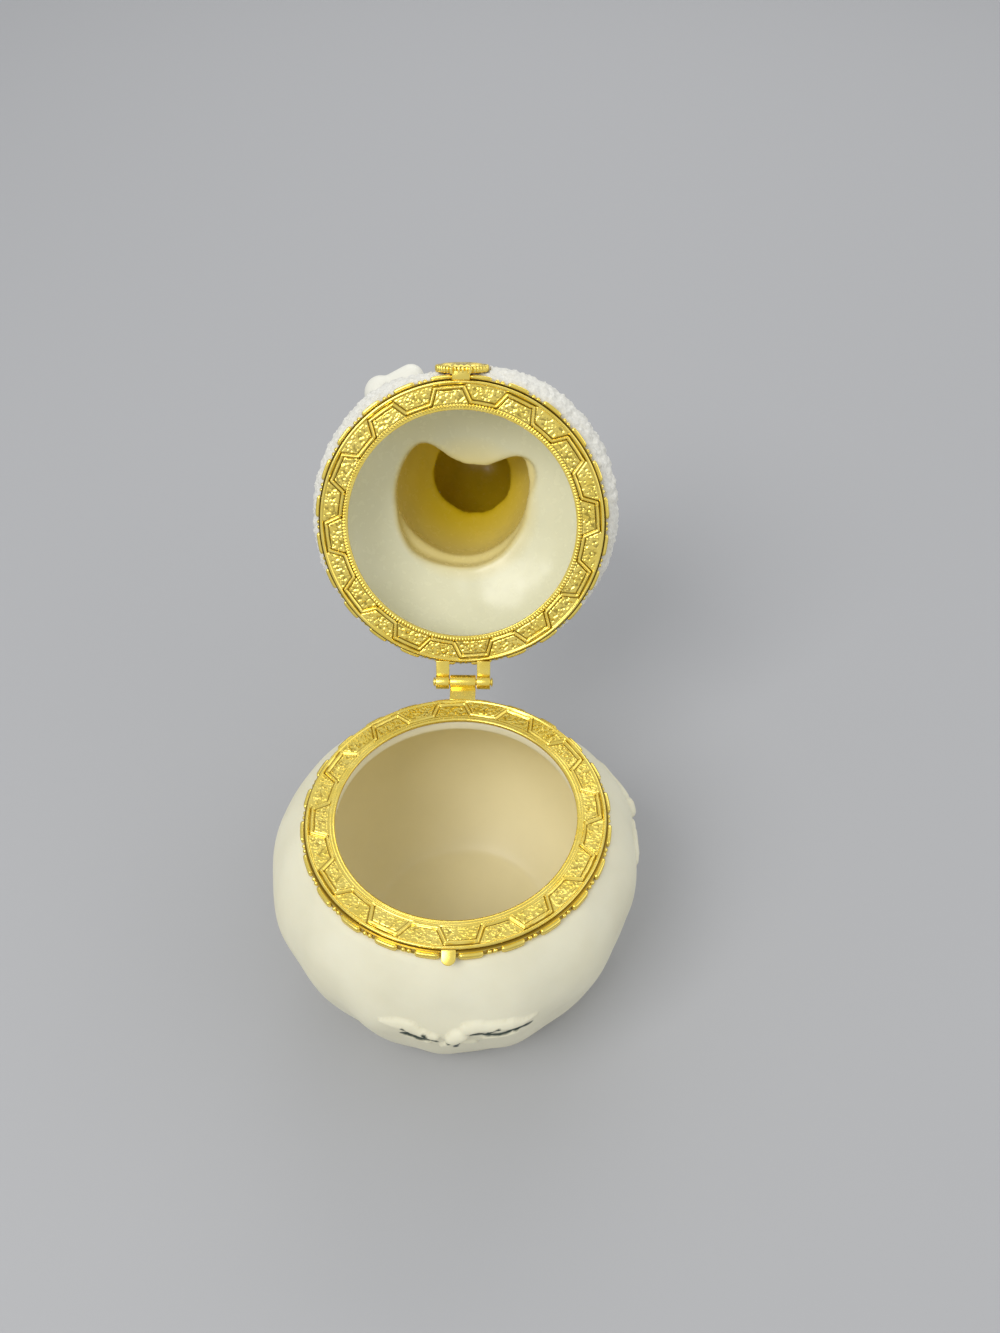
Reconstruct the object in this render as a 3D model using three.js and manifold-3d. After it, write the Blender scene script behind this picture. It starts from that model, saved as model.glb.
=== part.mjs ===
// Snowman trinket box: a porcelain pot and a hollow porcelain lid, each bound by a gilt ring,
// hinged at the back, clasped in front, with the lid standing open.
// Millimetres, +Z up, front towards -Y. The origin is the centre of the pot's underside.

import * as THREE from 'three';
import { mergeVertices } from 'three/addons/utils/BufferGeometryUtils.js';
import Module from 'manifold-3d';

const wasm = await Module();
wasm.setup();

// Fits
const GAP = 0.3; // between pieces that are cemented, soldered or shut against each other
const PIN_CLEARANCE = 0.09; // between the hinge pin and its bores

// Gilt rings, one on the pot and one on the lid
const MOUTH_R = 29; // clear opening
const FLANGE_W = 7;
const FLANGE_T = 0.8;
const MOUTH_LEDGE = 0.5; // how far the ring's mouth stands in from the porcelain's
const SKIRT_STEP = 0.5; // how far the band that grips the porcelain stands out beyond the flange
const SKIRT_T = 1;
const SKIRT_H = 2.3;
const BAR_T = 0.8; // raised bars around the band
const BAR_L = 5.4;
const BAR_H = 1.7;
const BAR_COUNT = 24;
const RAIL_H = 0.35; // rail that zigzags around the flange
const RAIL_W = 0.65;
const RAIL_INSET = 1.5; // from the flange's outer edge
const RAIL_OFFSET = 2; // from the mouth
const RAIL_REPEATS = 12;
const RAIL_SLANT_DEG = 3.2;
const POT_RAIL_TURN_DEG = 4.5;
const LID_RAIL_TURN_DEG = -4.8;

// Pot
const POT_H = 60; // underside to the top of its ring
const POT_FULLNESS = 9.4; // how far the belly stands out beyond the shoulder
const BELLY_H = 33.7; // height of the widest circle
const FOOT_R = 34.3;
const FOOT_BEVEL = 0.9;
const POT_WALL = 6;
const FLOOR_T = 5;
const FLOOR_R = 25;
const NECK_DEPTH = 4.8; // straight neck of porcelain inside each mouth
const SHOULDER_LEDGE = 0.6; // porcelain outside each ring's band
const POT_LOBES = 14;
const POT_LOBE_DEPTH = 0.45;

// Lid dome, heights measured from its ring's face
const DOME_FULLNESS = 2.5; // how far the dome stands out beyond its shoulder
const DOME_WIDE_H = 8.5;
const DOME_TOP_H = 28.2;
const DOME_RIM_WALL = 4;
const DOME_BROW = 1.3; // how far the dome's roof has come down where the figure stands on it
const LID_WALL = 2.5;
const SNOW_DEPTH = 0.42; // roughness of the snow

// Snowman on the lid: its parts are shares of its height above the dome
const FIGURE_H = 49.8;

// Hinge
const BARREL_R = 1.9;
const PIN_R = 0.8;
const LEAF_W = 6.7;
const LEAF_T = 1.2;
const ARM_W = 3.5;
const HINGE_REACH = 4.2; // from the bars around the ring back to the pin
const HINGE_RISE = 0.35; // pin above the face of the pot's ring
const PIN_HEAD_R = 1.25;
const PIN_HEAD_T = 0.5;
const OPEN_DEG = 118.3;

// Clasp
const MEDALLION_R = 6.7;
const MEDALLION_T = 1.7;
const MEDALLION_CROWN = 0.5;
const MEDALLION_BORDER = 1.3;
const MEDALLION_FLUTES = 20;
const FLUTE_DEPTH = 0.22;
const MEDALLION_LOW = 0.2; // its lower edge above the ring's face
const TAB_W = 3.2;
const TAB_T = 0.8;
const TAB_REACH = 2.2;
const TAB_SLOPE_DEG = 32;
const PRONG_W = 0.7;
const PRONG_H = 1.1;

const DEG = Math.PI / 180;
const UP = new THREE.Vector3(0, 0, 1);

// Worked out from the sizes above
const FLANGE_R = MOUTH_R + FLANGE_W;
const SKIRT_R = FLANGE_R + SKIRT_STEP;
const RAIL_OUT_R = FLANGE_R - RAIL_INSET;
const RAIL_IN_R = MOUTH_R + RAIL_OFFSET;
const BAR_R = SKIRT_R + BAR_T;
const FLANGE_LOW = RAIL_H + FLANGE_T;
const SKIRT_LOW = FLANGE_LOW + SKIRT_H;
const NECK_OUT_R = SKIRT_R - SKIRT_T - GAP;
const NECK_IN_R = MOUTH_R + MOUTH_LEDGE;
const SHOULDER_R = SKIRT_R + SHOULDER_LEDGE;
const POT_R = SHOULDER_R + POT_FULLNESS;
const DOME_R = SHOULDER_R + DOME_FULLNESS;
const HINGE_Y = BAR_R + HINGE_REACH;
const HINGE_Z = POT_H + HINGE_RISE;

// A closed solid that can be joined and cut, with its faces pointing out.
function solid(geometry) {
  geometry.deleteAttribute('normal');
  geometry.deleteAttribute('uv');
  const merged = mergeVertices(geometry, 1e-4);
  const at = merged.attributes.position.array;
  const index = merged.index.array;
  const corner = (i) => new THREE.Vector3().fromArray(at, 3 * i);
  const faces = [];
  let volume = 0;
  for (let i = 0; i < index.length; i += 3) {
    const [a, b, c] = [index[i], index[i + 1], index[i + 2]];
    if (a === b || b === c || c === a) continue;
    volume += corner(a).dot(corner(b).cross(corner(c)));
    faces.push([a, b, c]);
  }
  const triVerts = new Uint32Array(faces.map((f) => (volume < 0 ? [f[0], f[2], f[1]] : f)).flat());
  return new wasm.Manifold(new wasm.Mesh({ numProp: 3, vertProperties: new Float32Array(at), triVerts }));
}

const joined = (solids) => solids.reduce((whole, next) => whole.add(next));

// The scene's mesh of a solid.
function mesh(name, body, material) {
  const { vertProperties, triVerts } = body.getMesh();
  const geometry = new THREE.BufferGeometry();
  geometry.setAttribute('position', new THREE.BufferAttribute(new Float32Array(vertProperties), 3));
  geometry.setIndex(new THREE.BufferAttribute(new Uint32Array(triVerts), 1));
  geometry.computeVertexNormals();
  const made = new THREE.Mesh(geometry, material.clone());
  made.name = name;
  return made;
}

// A profile of [radius, height] points turned about the upright axis, starting at the front.
function turned(profile, segments) {
  const points = profile.map(([r, z]) => new THREE.Vector2(r, z));
  return new THREE.LatheGeometry(points, segments).rotateX(Math.PI / 2);
}

// Points of an ellipse, from one radius to another, above or below its widest circle.
function arc(wideR, wideZ, rise, fromR, toR, count) {
  const start = Math.acos(Math.min(1, fromR / wideR));
  const end = Math.acos(Math.min(1, toR / wideR));
  return Array.from({ length: count }, (_, i) => {
    const t = start + ((end - start) * i) / (count - 1);
    return [wideR * Math.cos(t), wideZ + rise * Math.sin(t)];
  });
}

// How high an ellipse must be to pass through a circle of radius r at a height away from its widest.
const riseThrough = (wideR, r, away) => away / Math.sqrt(1 - (r / wideR) ** 2);

const polar = (r, azimuth, z) => new THREE.Vector3(r * Math.sin(azimuth), -r * Math.cos(azimuth), z);
const azimuthOf = (p) => Math.atan2(p.x, -p.y);
const hump = (distance) => Math.exp(-distance * distance);

// Moves each vertex by what a function says of it.
function shaped(geometry, move) {
  const at = geometry.attributes.position;
  const p = new THREE.Vector3();
  for (let i = 0; i < at.count; i += 1) {
    move(p.fromBufferAttribute(at, i));
    at.setXYZ(i, p.x, p.y, p.z);
  }
  return geometry;
}

// Rough snow: a height between about -1 and 1 that changes from one place to the next.
function snow(p) {
  const coarse = Math.sin(0.62 * p.x + 0.35 * p.z) * Math.sin(0.55 * p.y - 0.48 * p.z + 1.1);
  const fine = Math.sin(2.3 * p.x - 1.7 * p.y) * Math.sin(1.9 * p.z + 1.3 * p.y + 0.4);
  return 0.6 * coarse + 0.6 * fine;
}

// An ellipsoid, smooth or rough with snow.
function ball(centre, radii, around, rough = 0) {
  const rows = Math.round(around / 2);
  const geometry = new THREE.SphereGeometry(1, around, rows).rotateX(Math.PI / 2);
  shaped(geometry, (p) => {
    const out = p.clone();
    p.multiply(radii).add(centre);
    p.addScaledVector(out, rough * snow(p));
  });
  return solid(geometry);
}

const radiiOf = (r) => new THREE.Vector3(r, r, r);

// A round-ended limb between two points, with a radius at each.
function limb(from, to, fromR, toR, around = 7) {
  const length = from.distanceTo(to);
  const profile = [
    [0, -fromR],
    [0.75 * fromR, -0.66 * fromR],
    [fromR, 0],
    [toR, length],
    [0.75 * toR, length + 0.66 * toR],
    [0, length + toR],
  ];
  const geometry = turned(profile, around);
  const turn = new THREE.Quaternion().setFromUnitVectors(UP, to.clone().sub(from).normalize());
  return solid(geometry.applyQuaternion(turn).translate(from.x, from.y, from.z));
}

// A box with its centre at a point.
const block = (x, y, z, wide, deep, high) =>
  solid(new THREE.BoxGeometry(wide, deep, high).translate(x, y, z));

// A round bar along X.
const roundBar = (y, z, r, low, high, sides = 12) =>
  solid(
    new THREE.CylinderGeometry(r, r, high - low, sides)
      .rotateZ(Math.PI / 2)
      .translate((low + high) / 2, y, z),
  );

// Gilt ring

// A closed line moved sideways by a distance, with its corners kept sharp.
function offsetLoop(points, distance) {
  return points.map((p, i) => {
    const before = points[(i + points.length - 1) % points.length];
    const after = points[(i + 1) % points.length];
    const a = p.clone().sub(before).normalize();
    const b = after.clone().sub(p).normalize();
    const side = new THREE.Vector2(a.y + b.y, -a.x - b.x).normalize();
    return p.clone().addScaledVector(side, distance / side.dot(new THREE.Vector2(a.y, -a.x)));
  });
}

// The rail: a flat strip that steps between an outer and an inner circle.
function rail(turnDeg) {
  const half = 180 / RAIL_REPEATS;
  const line = [];
  for (let i = 0; i < 2 * RAIL_REPEATS; i += 1) {
    const r = i % 2 ? RAIL_IN_R : RAIL_OUT_R;
    const middle = turnDeg + i * half;
    const reach = (half - RAIL_SLANT_DEG) / 2;
    for (const azimuth of [middle - reach, middle + reach]) {
      const p = polar(r, azimuth * DEG, 0);
      line.push(new THREE.Vector2(p.x, p.y));
    }
  }
  const strip = new THREE.Shape(offsetLoop(line, RAIL_W / 2));
  strip.holes.push(new THREE.Path(offsetLoop(line, -RAIL_W / 2)));
  const sunk = FLANGE_T / 2;
  const geometry = new THREE.ExtrudeGeometry(strip, { depth: RAIL_H + sunk, bevelEnabled: false });
  return solid(geometry.translate(0, 0, -RAIL_H - sunk));
}

// The whole ring, facing up, with its rails' tops at height 0.
function giltRing(turnDeg) {
  const section = [
    [MOUTH_R, -FLANGE_LOW],
    [MOUTH_R, -RAIL_H],
    [FLANGE_R, -RAIL_H],
    [FLANGE_R, -FLANGE_LOW],
    [SKIRT_R, -FLANGE_LOW],
    [SKIRT_R, -SKIRT_LOW],
    [SKIRT_R - SKIRT_T, -SKIRT_LOW],
    [SKIRT_R - SKIRT_T, -FLANGE_LOW],
  ];
  let ring = solid(turned([...section, section[0]], 36)).add(rail(turnDeg));
  const sunk = SKIRT_T / 2;
  for (let i = 0; i < BAR_COUNT; i += 1) {
    const bar = new THREE.BoxGeometry(BAR_L, BAR_T + sunk, BAR_H)
      .translate(0, -(BAR_R - (BAR_T + sunk) / 2), -FLANGE_LOW - SKIRT_H / 2)
      .rotateZ(((i + 0.5) * 2 * Math.PI) / BAR_COUNT);
    ring = ring.add(solid(bar));
  }
  return ring;
}

// Pot

// Soft swellings and hollows of the cast snow body. Each gives its azimuth and half-width in
// degrees; its height, half-height and how far it stands out are shares of the pot's height.
const POT_SWELLS = [
  { azimuth: -110, high: 0.75, wide: 35, tall: 0.25, out: 0.026 },
  { azimuth: 118, high: 0.77, wide: 22, tall: 0.2, out: 0.026 },
  { azimuth: 50, high: 0.42, wide: 42, tall: 0.35, out: -0.042 },
  { azimuth: -25, high: 0.35, wide: 38, tall: 0.35, out: -0.028 },
  { azimuth: 105, high: 0.66, wide: 20, tall: 0.12, out: 0.01 },
  { azimuth: 1, high: 0.77, wide: 8, tall: 0.08, out: -0.012 },
  { azimuth: 0, high: 0.63, wide: 24, tall: 0.07, out: 0.01 },
];

const SHOULDER_H = POT_H - SKIRT_LOW - GAP;
const POT_RISE = riseThrough(POT_R, SHOULDER_R, SHOULDER_H - BELLY_H);

function swelling(azimuth, z) {
  const fade = Math.max(0, Math.sin((Math.PI * z) / SHOULDER_H)) ** 0.7;
  let out = POT_LOBE_DEPTH * Math.cos(POT_LOBES * azimuth);
  for (const s of POT_SWELLS) {
    const around = Math.atan2(Math.sin(azimuth - s.azimuth * DEG), Math.cos(azimuth - s.azimuth * DEG));
    out += s.out * POT_H * hump(around / (s.wide * DEG)) * hump((z / POT_H - s.high) / s.tall);
  }
  return fade * out;
}

// The pot's outer radius at a height, before its swellings.
function potRadius(z) {
  if (z > BELLY_H) return POT_R * Math.sqrt(1 - ((z - BELLY_H) / POT_RISE) ** 2);
  return POT_R - (POT_R - FOOT_R) * ((BELLY_H - z) / BELLY_H) ** 1.6;
}

const onPot = (azimuth, z) => polar(potRadius(z) + swelling(azimuth, z), azimuth, z);

function potBody() {
  const lowSteps = 4;
  const lower = Array.from({ length: lowSteps }, (_, i) => {
    const z = FOOT_BEVEL + ((BELLY_H - FOOT_BEVEL) * i) / lowSteps;
    return [potRadius(z), z];
  });
  const outline = [
    [0, 0],
    [potRadius(FOOT_BEVEL) - FOOT_BEVEL, 0],
    ...lower,
    ...arc(POT_R, BELLY_H, POT_RISE, POT_R, SHOULDER_R, 5),
    [NECK_OUT_R, SHOULDER_H],
    [NECK_OUT_R, POT_H - FLANGE_LOW - GAP],
    [0, POT_H - FLANGE_LOW - GAP],
  ];
  const body = shaped(turned(outline, 3 * POT_LOBES), (p) => {
    const r = Math.hypot(p.x, p.y);
    if (r < FOOT_R - FOOT_BEVEL || p.z > SHOULDER_H - GAP) return;
    p.copy(polar(r + swelling(azimuthOf(p), p.z), azimuthOf(p), p.z));
  });
  return solid(body);
}

function potHollow() {
  const wideR = POT_R - POT_WALL;
  const neckLow = POT_H - NECK_DEPTH;
  const rise = riseThrough(wideR, NECK_IN_R, neckLow - BELLY_H);
  const fall = riseThrough(wideR, FLOOR_R, BELLY_H - FLOOR_T);
  const outline = [
    [0, FLOOR_T],
    ...arc(wideR, BELLY_H, -fall, FLOOR_R, wideR, 4).slice(0, -1),
    ...arc(wideR, BELLY_H, rise, wideR, NECK_IN_R, 4),
    [NECK_IN_R, POT_H],
    [0, POT_H],
  ];
  return solid(turned(outline, 28));
}

// One snow-laden sprig in low relief, spread either side of an azimuth. Each lump gives its turn
// and tilt in degrees; its rise from the middle, length, height and depth are shares of the pot's
// height.
const SPRIG_LUMPS = [
  { turn: -15.5, up: 0.015, size: [0.155, 0.066, 0.02], tilt: -4 },
  { turn: -7, up: 0.002, size: [0.14, 0.058, 0.02], tilt: -10 },
  { turn: 2, up: -0.003, size: [0.1, 0.1, 0.032], tilt: 0 },
  { turn: 8.5, up: 0.035, size: [0.135, 0.066, 0.02], tilt: 2 },
  { turn: 18, up: 0.023, size: [0.18, 0.055, 0.018], tilt: -8 },
  { turn: -1.8, up: -0.078, size: [0.055, 0.073, 0.017], tilt: 20 },
  { turn: 5.5, up: -0.078, size: [0.05, 0.067, 0.017], tilt: -24 },
];
const SPRIGS = [
  { azimuth: 0, high: 0.628 },
  { azimuth: 108, high: 0.68 },
];

function sprig({ azimuth, high }) {
  return SPRIG_LUMPS.map(({ turn, up, size, tilt }) => {
    const around = (azimuth + turn) * DEG;
    const [long, tall, out] = size.map((part) => part * POT_H);
    const z = (high + up) * POT_H;
    const step = POT_H / 100;
    const at = onPot(around, z);
    const rising = onPot(around, z + step).sub(onPot(around, z - step)).normalize();
    const sideways = new THREE.Vector3(Math.cos(around), Math.sin(around), 0);
    const inward = rising.clone().cross(sideways);
    const sunk = out / 2;
    const geometry = new THREE.SphereGeometry(1, 7, 4).scale(long / 2, out + sunk, tall / 2);
    geometry.rotateY(-tilt * DEG);
    const frame = new THREE.Matrix4().makeBasis(sideways, inward, rising);
    frame.setPosition(at.addScaledVector(inward, sunk));
    return solid(geometry.applyMatrix4(frame));
  });
}

function makePot() {
  return joined([potBody(), ...SPRIGS.flatMap(sprig)]).subtract(potHollow());
}

// Lid

const share = (x, y, z) => new THREE.Vector3(x, y, z).multiplyScalar(FIGURE_H);
const place = (x, y, z) => share(x, y, z).setZ(DOME_TOP_H + z * FIGURE_H);

const TORSO = { at: place(-0.02, -0.115, 0.056), radii: share(0.436, 0.444, 0.361) };
const HEAD = { at: place(0.041, -0.141, 0.478), radii: share(0.357, 0.354, 0.349) };
const CAP = { at: place(0.041, -0.121, 0.568), radii: share(0.37, 0.365, 0.326) };
const BOBBLE = { at: place(0.041, -0.06, 0.915), r: 0.085 * FIGURE_H };
const BRIM = { at: place(0.041, -0.121, 0.602), r: 0.345 * FIGURE_H, tube: 0.049 * FIGURE_H, lean: -5 };
const SCARF = { at: place(0.02, -0.147, 0.314), r: 0.309 * FIGURE_H, tube: 0.066 * FIGURE_H, lean: 5 };
const SCARF_END = { at: place(-0.141, -0.525, 0.17), size: share(0.15, 0.072, 0.298), lean: [-14, 10] };
const NOSE = { at: place(0.041, -0.47, 0.467), tip: place(0.056, -0.673, 0.438), r: 0.055 * FIGURE_H };

// Each arm runs from the shoulder through the elbow to the wrist, and ends in a mitten.
const ARMS = [
  {
    shoulder: place(-0.262, -0.262, 0.037),
    elbow: place(-0.341, -0.392, 0.096),
    wrist: place(-0.432, -0.522, 0.176),
    palm: place(-0.451, -0.592, 0.207),
    thumb: place(-0.312, -0.672, 0.237),
  },
  {
    shoulder: place(0.282, -0.221, 0.016),
    elbow: place(0.371, -0.341, 0.087),
    wrist: place(0.412, -0.462, 0.157),
    palm: place(0.401, -0.533, 0.197),
    thumb: place(0.301, -0.562, 0.258),
  },
];
const UPPER_ARM_R = 0.149 * FIGURE_H;
const ELBOW_R = 0.11 * FIGURE_H;
const WRIST_R = 0.085 * FIGURE_H;
const PALM = share(0.094, 0.1, 0.113);
const THUMB_R = 0.074 * FIGURE_H;

// The way up from the dome into the torso: a round hole that reaches into the roots of both arms
// and is narrowed in front. Each bay gives its azimuth, its half-widths left and right of it in
// degrees, and how far it reaches out.
const THROAT_R = 0.318 * FIGURE_H;
const THROAT_BAYS = [
  { azimuth: -38, left: 70, right: 13, out: 0.133 * FIGURE_H },
  { azimuth: 57, left: 20, right: 22, out: 0.133 * FIGURE_H },
  { azimuth: 2, left: 22, right: 34, out: -0.077 * FIGURE_H },
];

// A tube bent into a circle, leaning forwards.
function hoop({ at, r, tube, lean }, around, sides) {
  const geometry = new THREE.TorusGeometry(r, tube, sides, around);
  return solid(geometry.rotateX(lean * DEG).translate(at.x, at.y, at.z));
}

function arm({ shoulder, elbow, wrist, palm, thumb }) {
  return [
    limb(shoulder, elbow, UPPER_ARM_R, ELBOW_R),
    limb(elbow, wrist, ELBOW_R, WRIST_R),
    ball(palm, PALM, 8),
    limb(palm, thumb, THUMB_R, THUMB_R, 6),
  ];
}

// The dome of snow that the figure stands in, with the neck that its ring grips.
function dome() {
  const low = SKIRT_LOW + GAP;
  const fall = riseThrough(DOME_R, SHOULDER_R, DOME_WIDE_H - low);
  const outline = [
    [0, FLANGE_LOW + GAP],
    [NECK_OUT_R, FLANGE_LOW + GAP],
    [NECK_OUT_R, low],
    ...arc(DOME_R, DOME_WIDE_H, -fall, SHOULDER_R, DOME_R, 3).slice(0, -1),
    ...arc(DOME_R, DOME_WIDE_H, DOME_TOP_H - DOME_WIDE_H, DOME_R, 0, 6),
  ];
  return solid(
    shaped(turned(outline, 36), (p) => {
      const r = Math.hypot(p.x, p.y);
      if (r < GAP || p.z < low + GAP) return;
      const fuller = 0.9 * Math.cos(azimuthOf(p) - 55 * DEG) * Math.min(1, (p.z - low) / DOME_WIDE_H);
      p.copy(polar(r + fuller + SNOW_DEPTH * snow(p), azimuthOf(p), p.z));
    }),
  );
}

// The head's cap: the part of an ellipsoid above the middle of the brim.
function cap() {
  const below = 2 * CAP.radii.z;
  const cut = new THREE.BoxGeometry(3 * CAP.radii.x, 3 * CAP.radii.y, below)
    .translate(0, 0, -(below + BRIM.tube) / 2)
    .rotateX(BRIM.lean * DEG)
    .translate(BRIM.at.x, BRIM.at.y, BRIM.at.z);
  return ball(CAP.at, CAP.radii, 16).subtract(solid(cut));
}

function scarfEnd() {
  const { at, size, lean } = SCARF_END;
  const strip = new THREE.BoxGeometry(size.x, size.y, size.z, 1, 1, 3);
  return solid(strip.rotateX(lean[0] * DEG).rotateY(lean[1] * DEG).translate(at.x, at.y, at.z));
}

function nose() {
  const length = NOSE.at.distanceTo(NOSE.tip);
  const geometry = new THREE.ConeGeometry(NOSE.r, length, 8).translate(0, length / 2, 0);
  const ahead = NOSE.tip.clone().sub(NOSE.at).normalize();
  const turn = new THREE.Quaternion().setFromUnitVectors(new THREE.Vector3(0, 1, 0), ahead);
  return solid(geometry.applyQuaternion(turn).translate(NOSE.at.x, NOSE.at.y, NOSE.at.z));
}

// An ellipsoid whose lower half is flattened to a depth of its own.
function upperHalf(centre, radii, lowDepth, around) {
  const geometry = new THREE.SphereGeometry(1, around, Math.round(around / 2)).rotateX(Math.PI / 2);
  shaped(geometry, (p) => {
    const depth = p.z < 0 ? lowDepth : radii.z;
    p.multiply(new THREE.Vector3(radii.x, radii.y, depth)).add(centre);
  });
  return solid(geometry);
}

function throat(high) {
  const low = DOME_WIDE_H + LID_WALL;
  const outline = [
    [0, low],
    [THROAT_R, low],
    [THROAT_R, high],
    [0, high],
  ];
  const geometry = shaped(turned(outline, 30), (p) => {
    const r = Math.hypot(p.x, p.y);
    if (r < GAP) return;
    const azimuth = azimuthOf(p);
    let out = 0;
    for (const bay of THROAT_BAYS) {
      const away = azimuth - bay.azimuth * DEG;
      const around = Math.atan2(Math.sin(away), Math.cos(away));
      out += bay.out * hump(around / ((around < 0 ? bay.left : bay.right) * DEG));
    }
    p.copy(polar(r + out, azimuth, p.z));
  });
  return solid(geometry);
}

// Everything hollow: under the dome, up the torso, into the arms' roots and the head.
function lidHollow() {
  const wideR = DOME_R - DOME_RIM_WALL;
  const fall = riseThrough(wideR, NECK_IN_R, DOME_WIDE_H - NECK_DEPTH);
  const outline = [
    [0, 0],
    [NECK_IN_R, 0],
    ...arc(wideR, DOME_WIDE_H, -fall, NECK_IN_R, wideR, 3).slice(0, -1),
    ...arc(wideR, DOME_WIDE_H, DOME_TOP_H - LID_WALL - DOME_WIDE_H, wideR, 0, 5),
  ];
  const wall = radiiOf(LID_WALL);
  const torsoIn = TORSO.radii.clone().sub(wall);
  return joined([
    solid(turned(outline, 28)),
    throat(DOME_TOP_H - LID_WALL - DOME_BROW),
    throat(TORSO.at.z).intersect(ball(TORSO.at, torsoIn, 16)),
    upperHalf(TORSO.at, torsoIn, TORSO.at.z - DOME_TOP_H, 16),
    ball(HEAD.at.clone().lerp(CAP.at, 0.5), HEAD.radii.clone().sub(wall), 14),
  ]);
}

// The shallow seat in the snow behind the medallion.
function medallionSeat() {
  const back = BAR_R;
  const length = 2 * (DOME_R - back + LID_WALL);
  const seat = new THREE.CylinderGeometry(MEDALLION_R + 2 * GAP, MEDALLION_R + 2 * GAP, length, 16);
  return solid(seat.translate(0, -back - length / 2, MEDALLION_LOW + MEDALLION_R));
}

function makeLid() {
  const body = joined([
    dome(),
    ball(TORSO.at, TORSO.radii, 18, SNOW_DEPTH),
    ball(HEAD.at, HEAD.radii, 16),
    cap(),
    hoop(BRIM, 16, 4),
    ball(BOBBLE.at, radiiOf(BOBBLE.r), 8),
    hoop(SCARF, 14, 5),
    scarfEnd(),
    nose(),
    ...ARMS.flatMap(arm),
  ]);
  return body.subtract(lidHollow()).subtract(medallionSeat());
}

// Hinge

// One knuckle and its flat, reaching in to the ring. The flat lies along the barrel's low or high side.
function knuckle(low, high, side) {
  const front = BAR_R + GAP;
  const flat = block(
    (low + high) / 2,
    (front + HINGE_Y) / 2,
    HINGE_Z + side * (BARREL_R - LEAF_T / 2),
    high - low,
    HINGE_Y - front,
    LEAF_T,
  );
  return roundBar(HINGE_Y, HINGE_Z, BARREL_R, low, high)
    .add(flat)
    .subtract(roundBar(HINGE_Y, HINGE_Z, PIN_R + PIN_CLEARANCE, low - GAP, high + GAP));
}

const ARM_IN = LEAF_W / 2 + GAP;
const ARM_OUT = ARM_IN + ARM_W;

function hingePin() {
  const end = ARM_OUT + GAP;
  return joined([
    roundBar(HINGE_Y, HINGE_Z, PIN_R, -end - PIN_HEAD_T / 2, end + PIN_HEAD_T / 2),
    roundBar(HINGE_Y, HINGE_Z, PIN_HEAD_R, end, end + PIN_HEAD_T),
    roundBar(HINGE_Y, HINGE_Z, PIN_HEAD_R, -end - PIN_HEAD_T, -end),
  ]);
}

// Clasp

// The pot's tab: a flat tongue with a round end that slopes down over the band of its ring.
function tab() {
  const round = TAB_W / 2;
  const tongue = new THREE.Shape();
  tongue.moveTo(-round, 0);
  tongue.lineTo(-round, -TAB_REACH + round);
  tongue.absarc(0, -TAB_REACH + round, round, Math.PI, 2 * Math.PI, false);
  tongue.lineTo(round, 0);
  const geometry = new THREE.ExtrudeGeometry(tongue, { depth: TAB_T, bevelEnabled: false, curveSegments: 6 });
  geometry.translate(0, 0, -TAB_T).rotateX(TAB_SLOPE_DEG * DEG);
  return solid(geometry.translate(0, -BAR_R - GAP, POT_H - RAIL_H));
}

// The lid's fluted medallion, crowned in front, with two prongs that pass either side of the tab.
function medallion() {
  const back = BAR_R + GAP;
  const steps = 2 * MEDALLION_FLUTES;
  const edge = Array.from({ length: steps }, (_, i) => {
    const t = (i * 2 * Math.PI) / steps;
    const r = MEDALLION_R - (i % 2) * 2 * FLUTE_DEPTH;
    return new THREE.Vector2(r * Math.cos(t), r * Math.sin(t));
  });
  const rim = new THREE.ExtrudeGeometry(new THREE.Shape(edge), { depth: MEDALLION_T, bevelEnabled: false });
  const crownR = MEDALLION_R - MEDALLION_BORDER;
  const crown = [[0, MEDALLION_T / 2], [crownR, MEDALLION_T / 2]].concat(
    arc(crownR, MEDALLION_T, MEDALLION_CROWN, crownR, 0, 4),
  );
  const disc = solid(rim).add(solid(turned(crown, 16)));
  const upright = disc.rotate([90, 0, 0]).translate([0, -back, MEDALLION_LOW + MEDALLION_R]);
  const prongX = TAB_W / 2 + GAP + PRONG_W / 2;
  const yokeH = MEDALLION_LOW + MEDALLION_R / 2;
  const prongs = [-prongX, prongX].map((x) =>
    block(x, -back - MEDALLION_T / 2, (yokeH - PRONG_H) / 2, PRONG_W, MEDALLION_T, yokeH + PRONG_H),
  );
  return joined([upright, ...prongs]);
}

// Materials
const porcelain = new THREE.MeshStandardMaterial({ color: 0xe6e2d3, roughness: 0.55, metalness: 0 });
const snowPorcelain = new THREE.MeshStandardMaterial({ color: 0xeeece2, roughness: 0.9, metalness: 0 });
const gilt = new THREE.MeshStandardMaterial({ color: 0xd9b548, roughness: 0.28, metalness: 1 });

// The lid and what rides on it, drawn shut and then swung open about the pin.
const lidPieces = new THREE.Group();
const shutLid = POT_H + GAP;
lidPieces.add(
  mesh('lid', makeLid().translate([0, 0, shutLid]), snowPorcelain),
  mesh('lid_rim', giltRing(LID_RAIL_TURN_DEG).scale([1, 1, -1]).translate([0, 0, shutLid]), gilt),
  mesh('lid_hinge_knuckle_left', knuckle(-ARM_OUT, -ARM_IN, 1), gilt),
  mesh('lid_hinge_knuckle_right', knuckle(ARM_IN, ARM_OUT, 1), gilt),
  mesh('clasp_medallion', medallion().translate([0, 0, shutLid]), gilt),
);
lidPieces.position.set(0, -HINGE_Y, -HINGE_Z);
const lidAssembly = new THREE.Group();
lidAssembly.add(lidPieces);
lidAssembly.position.set(0, HINGE_Y, HINGE_Z);
lidAssembly.rotation.x = -OPEN_DEG * DEG;

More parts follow.
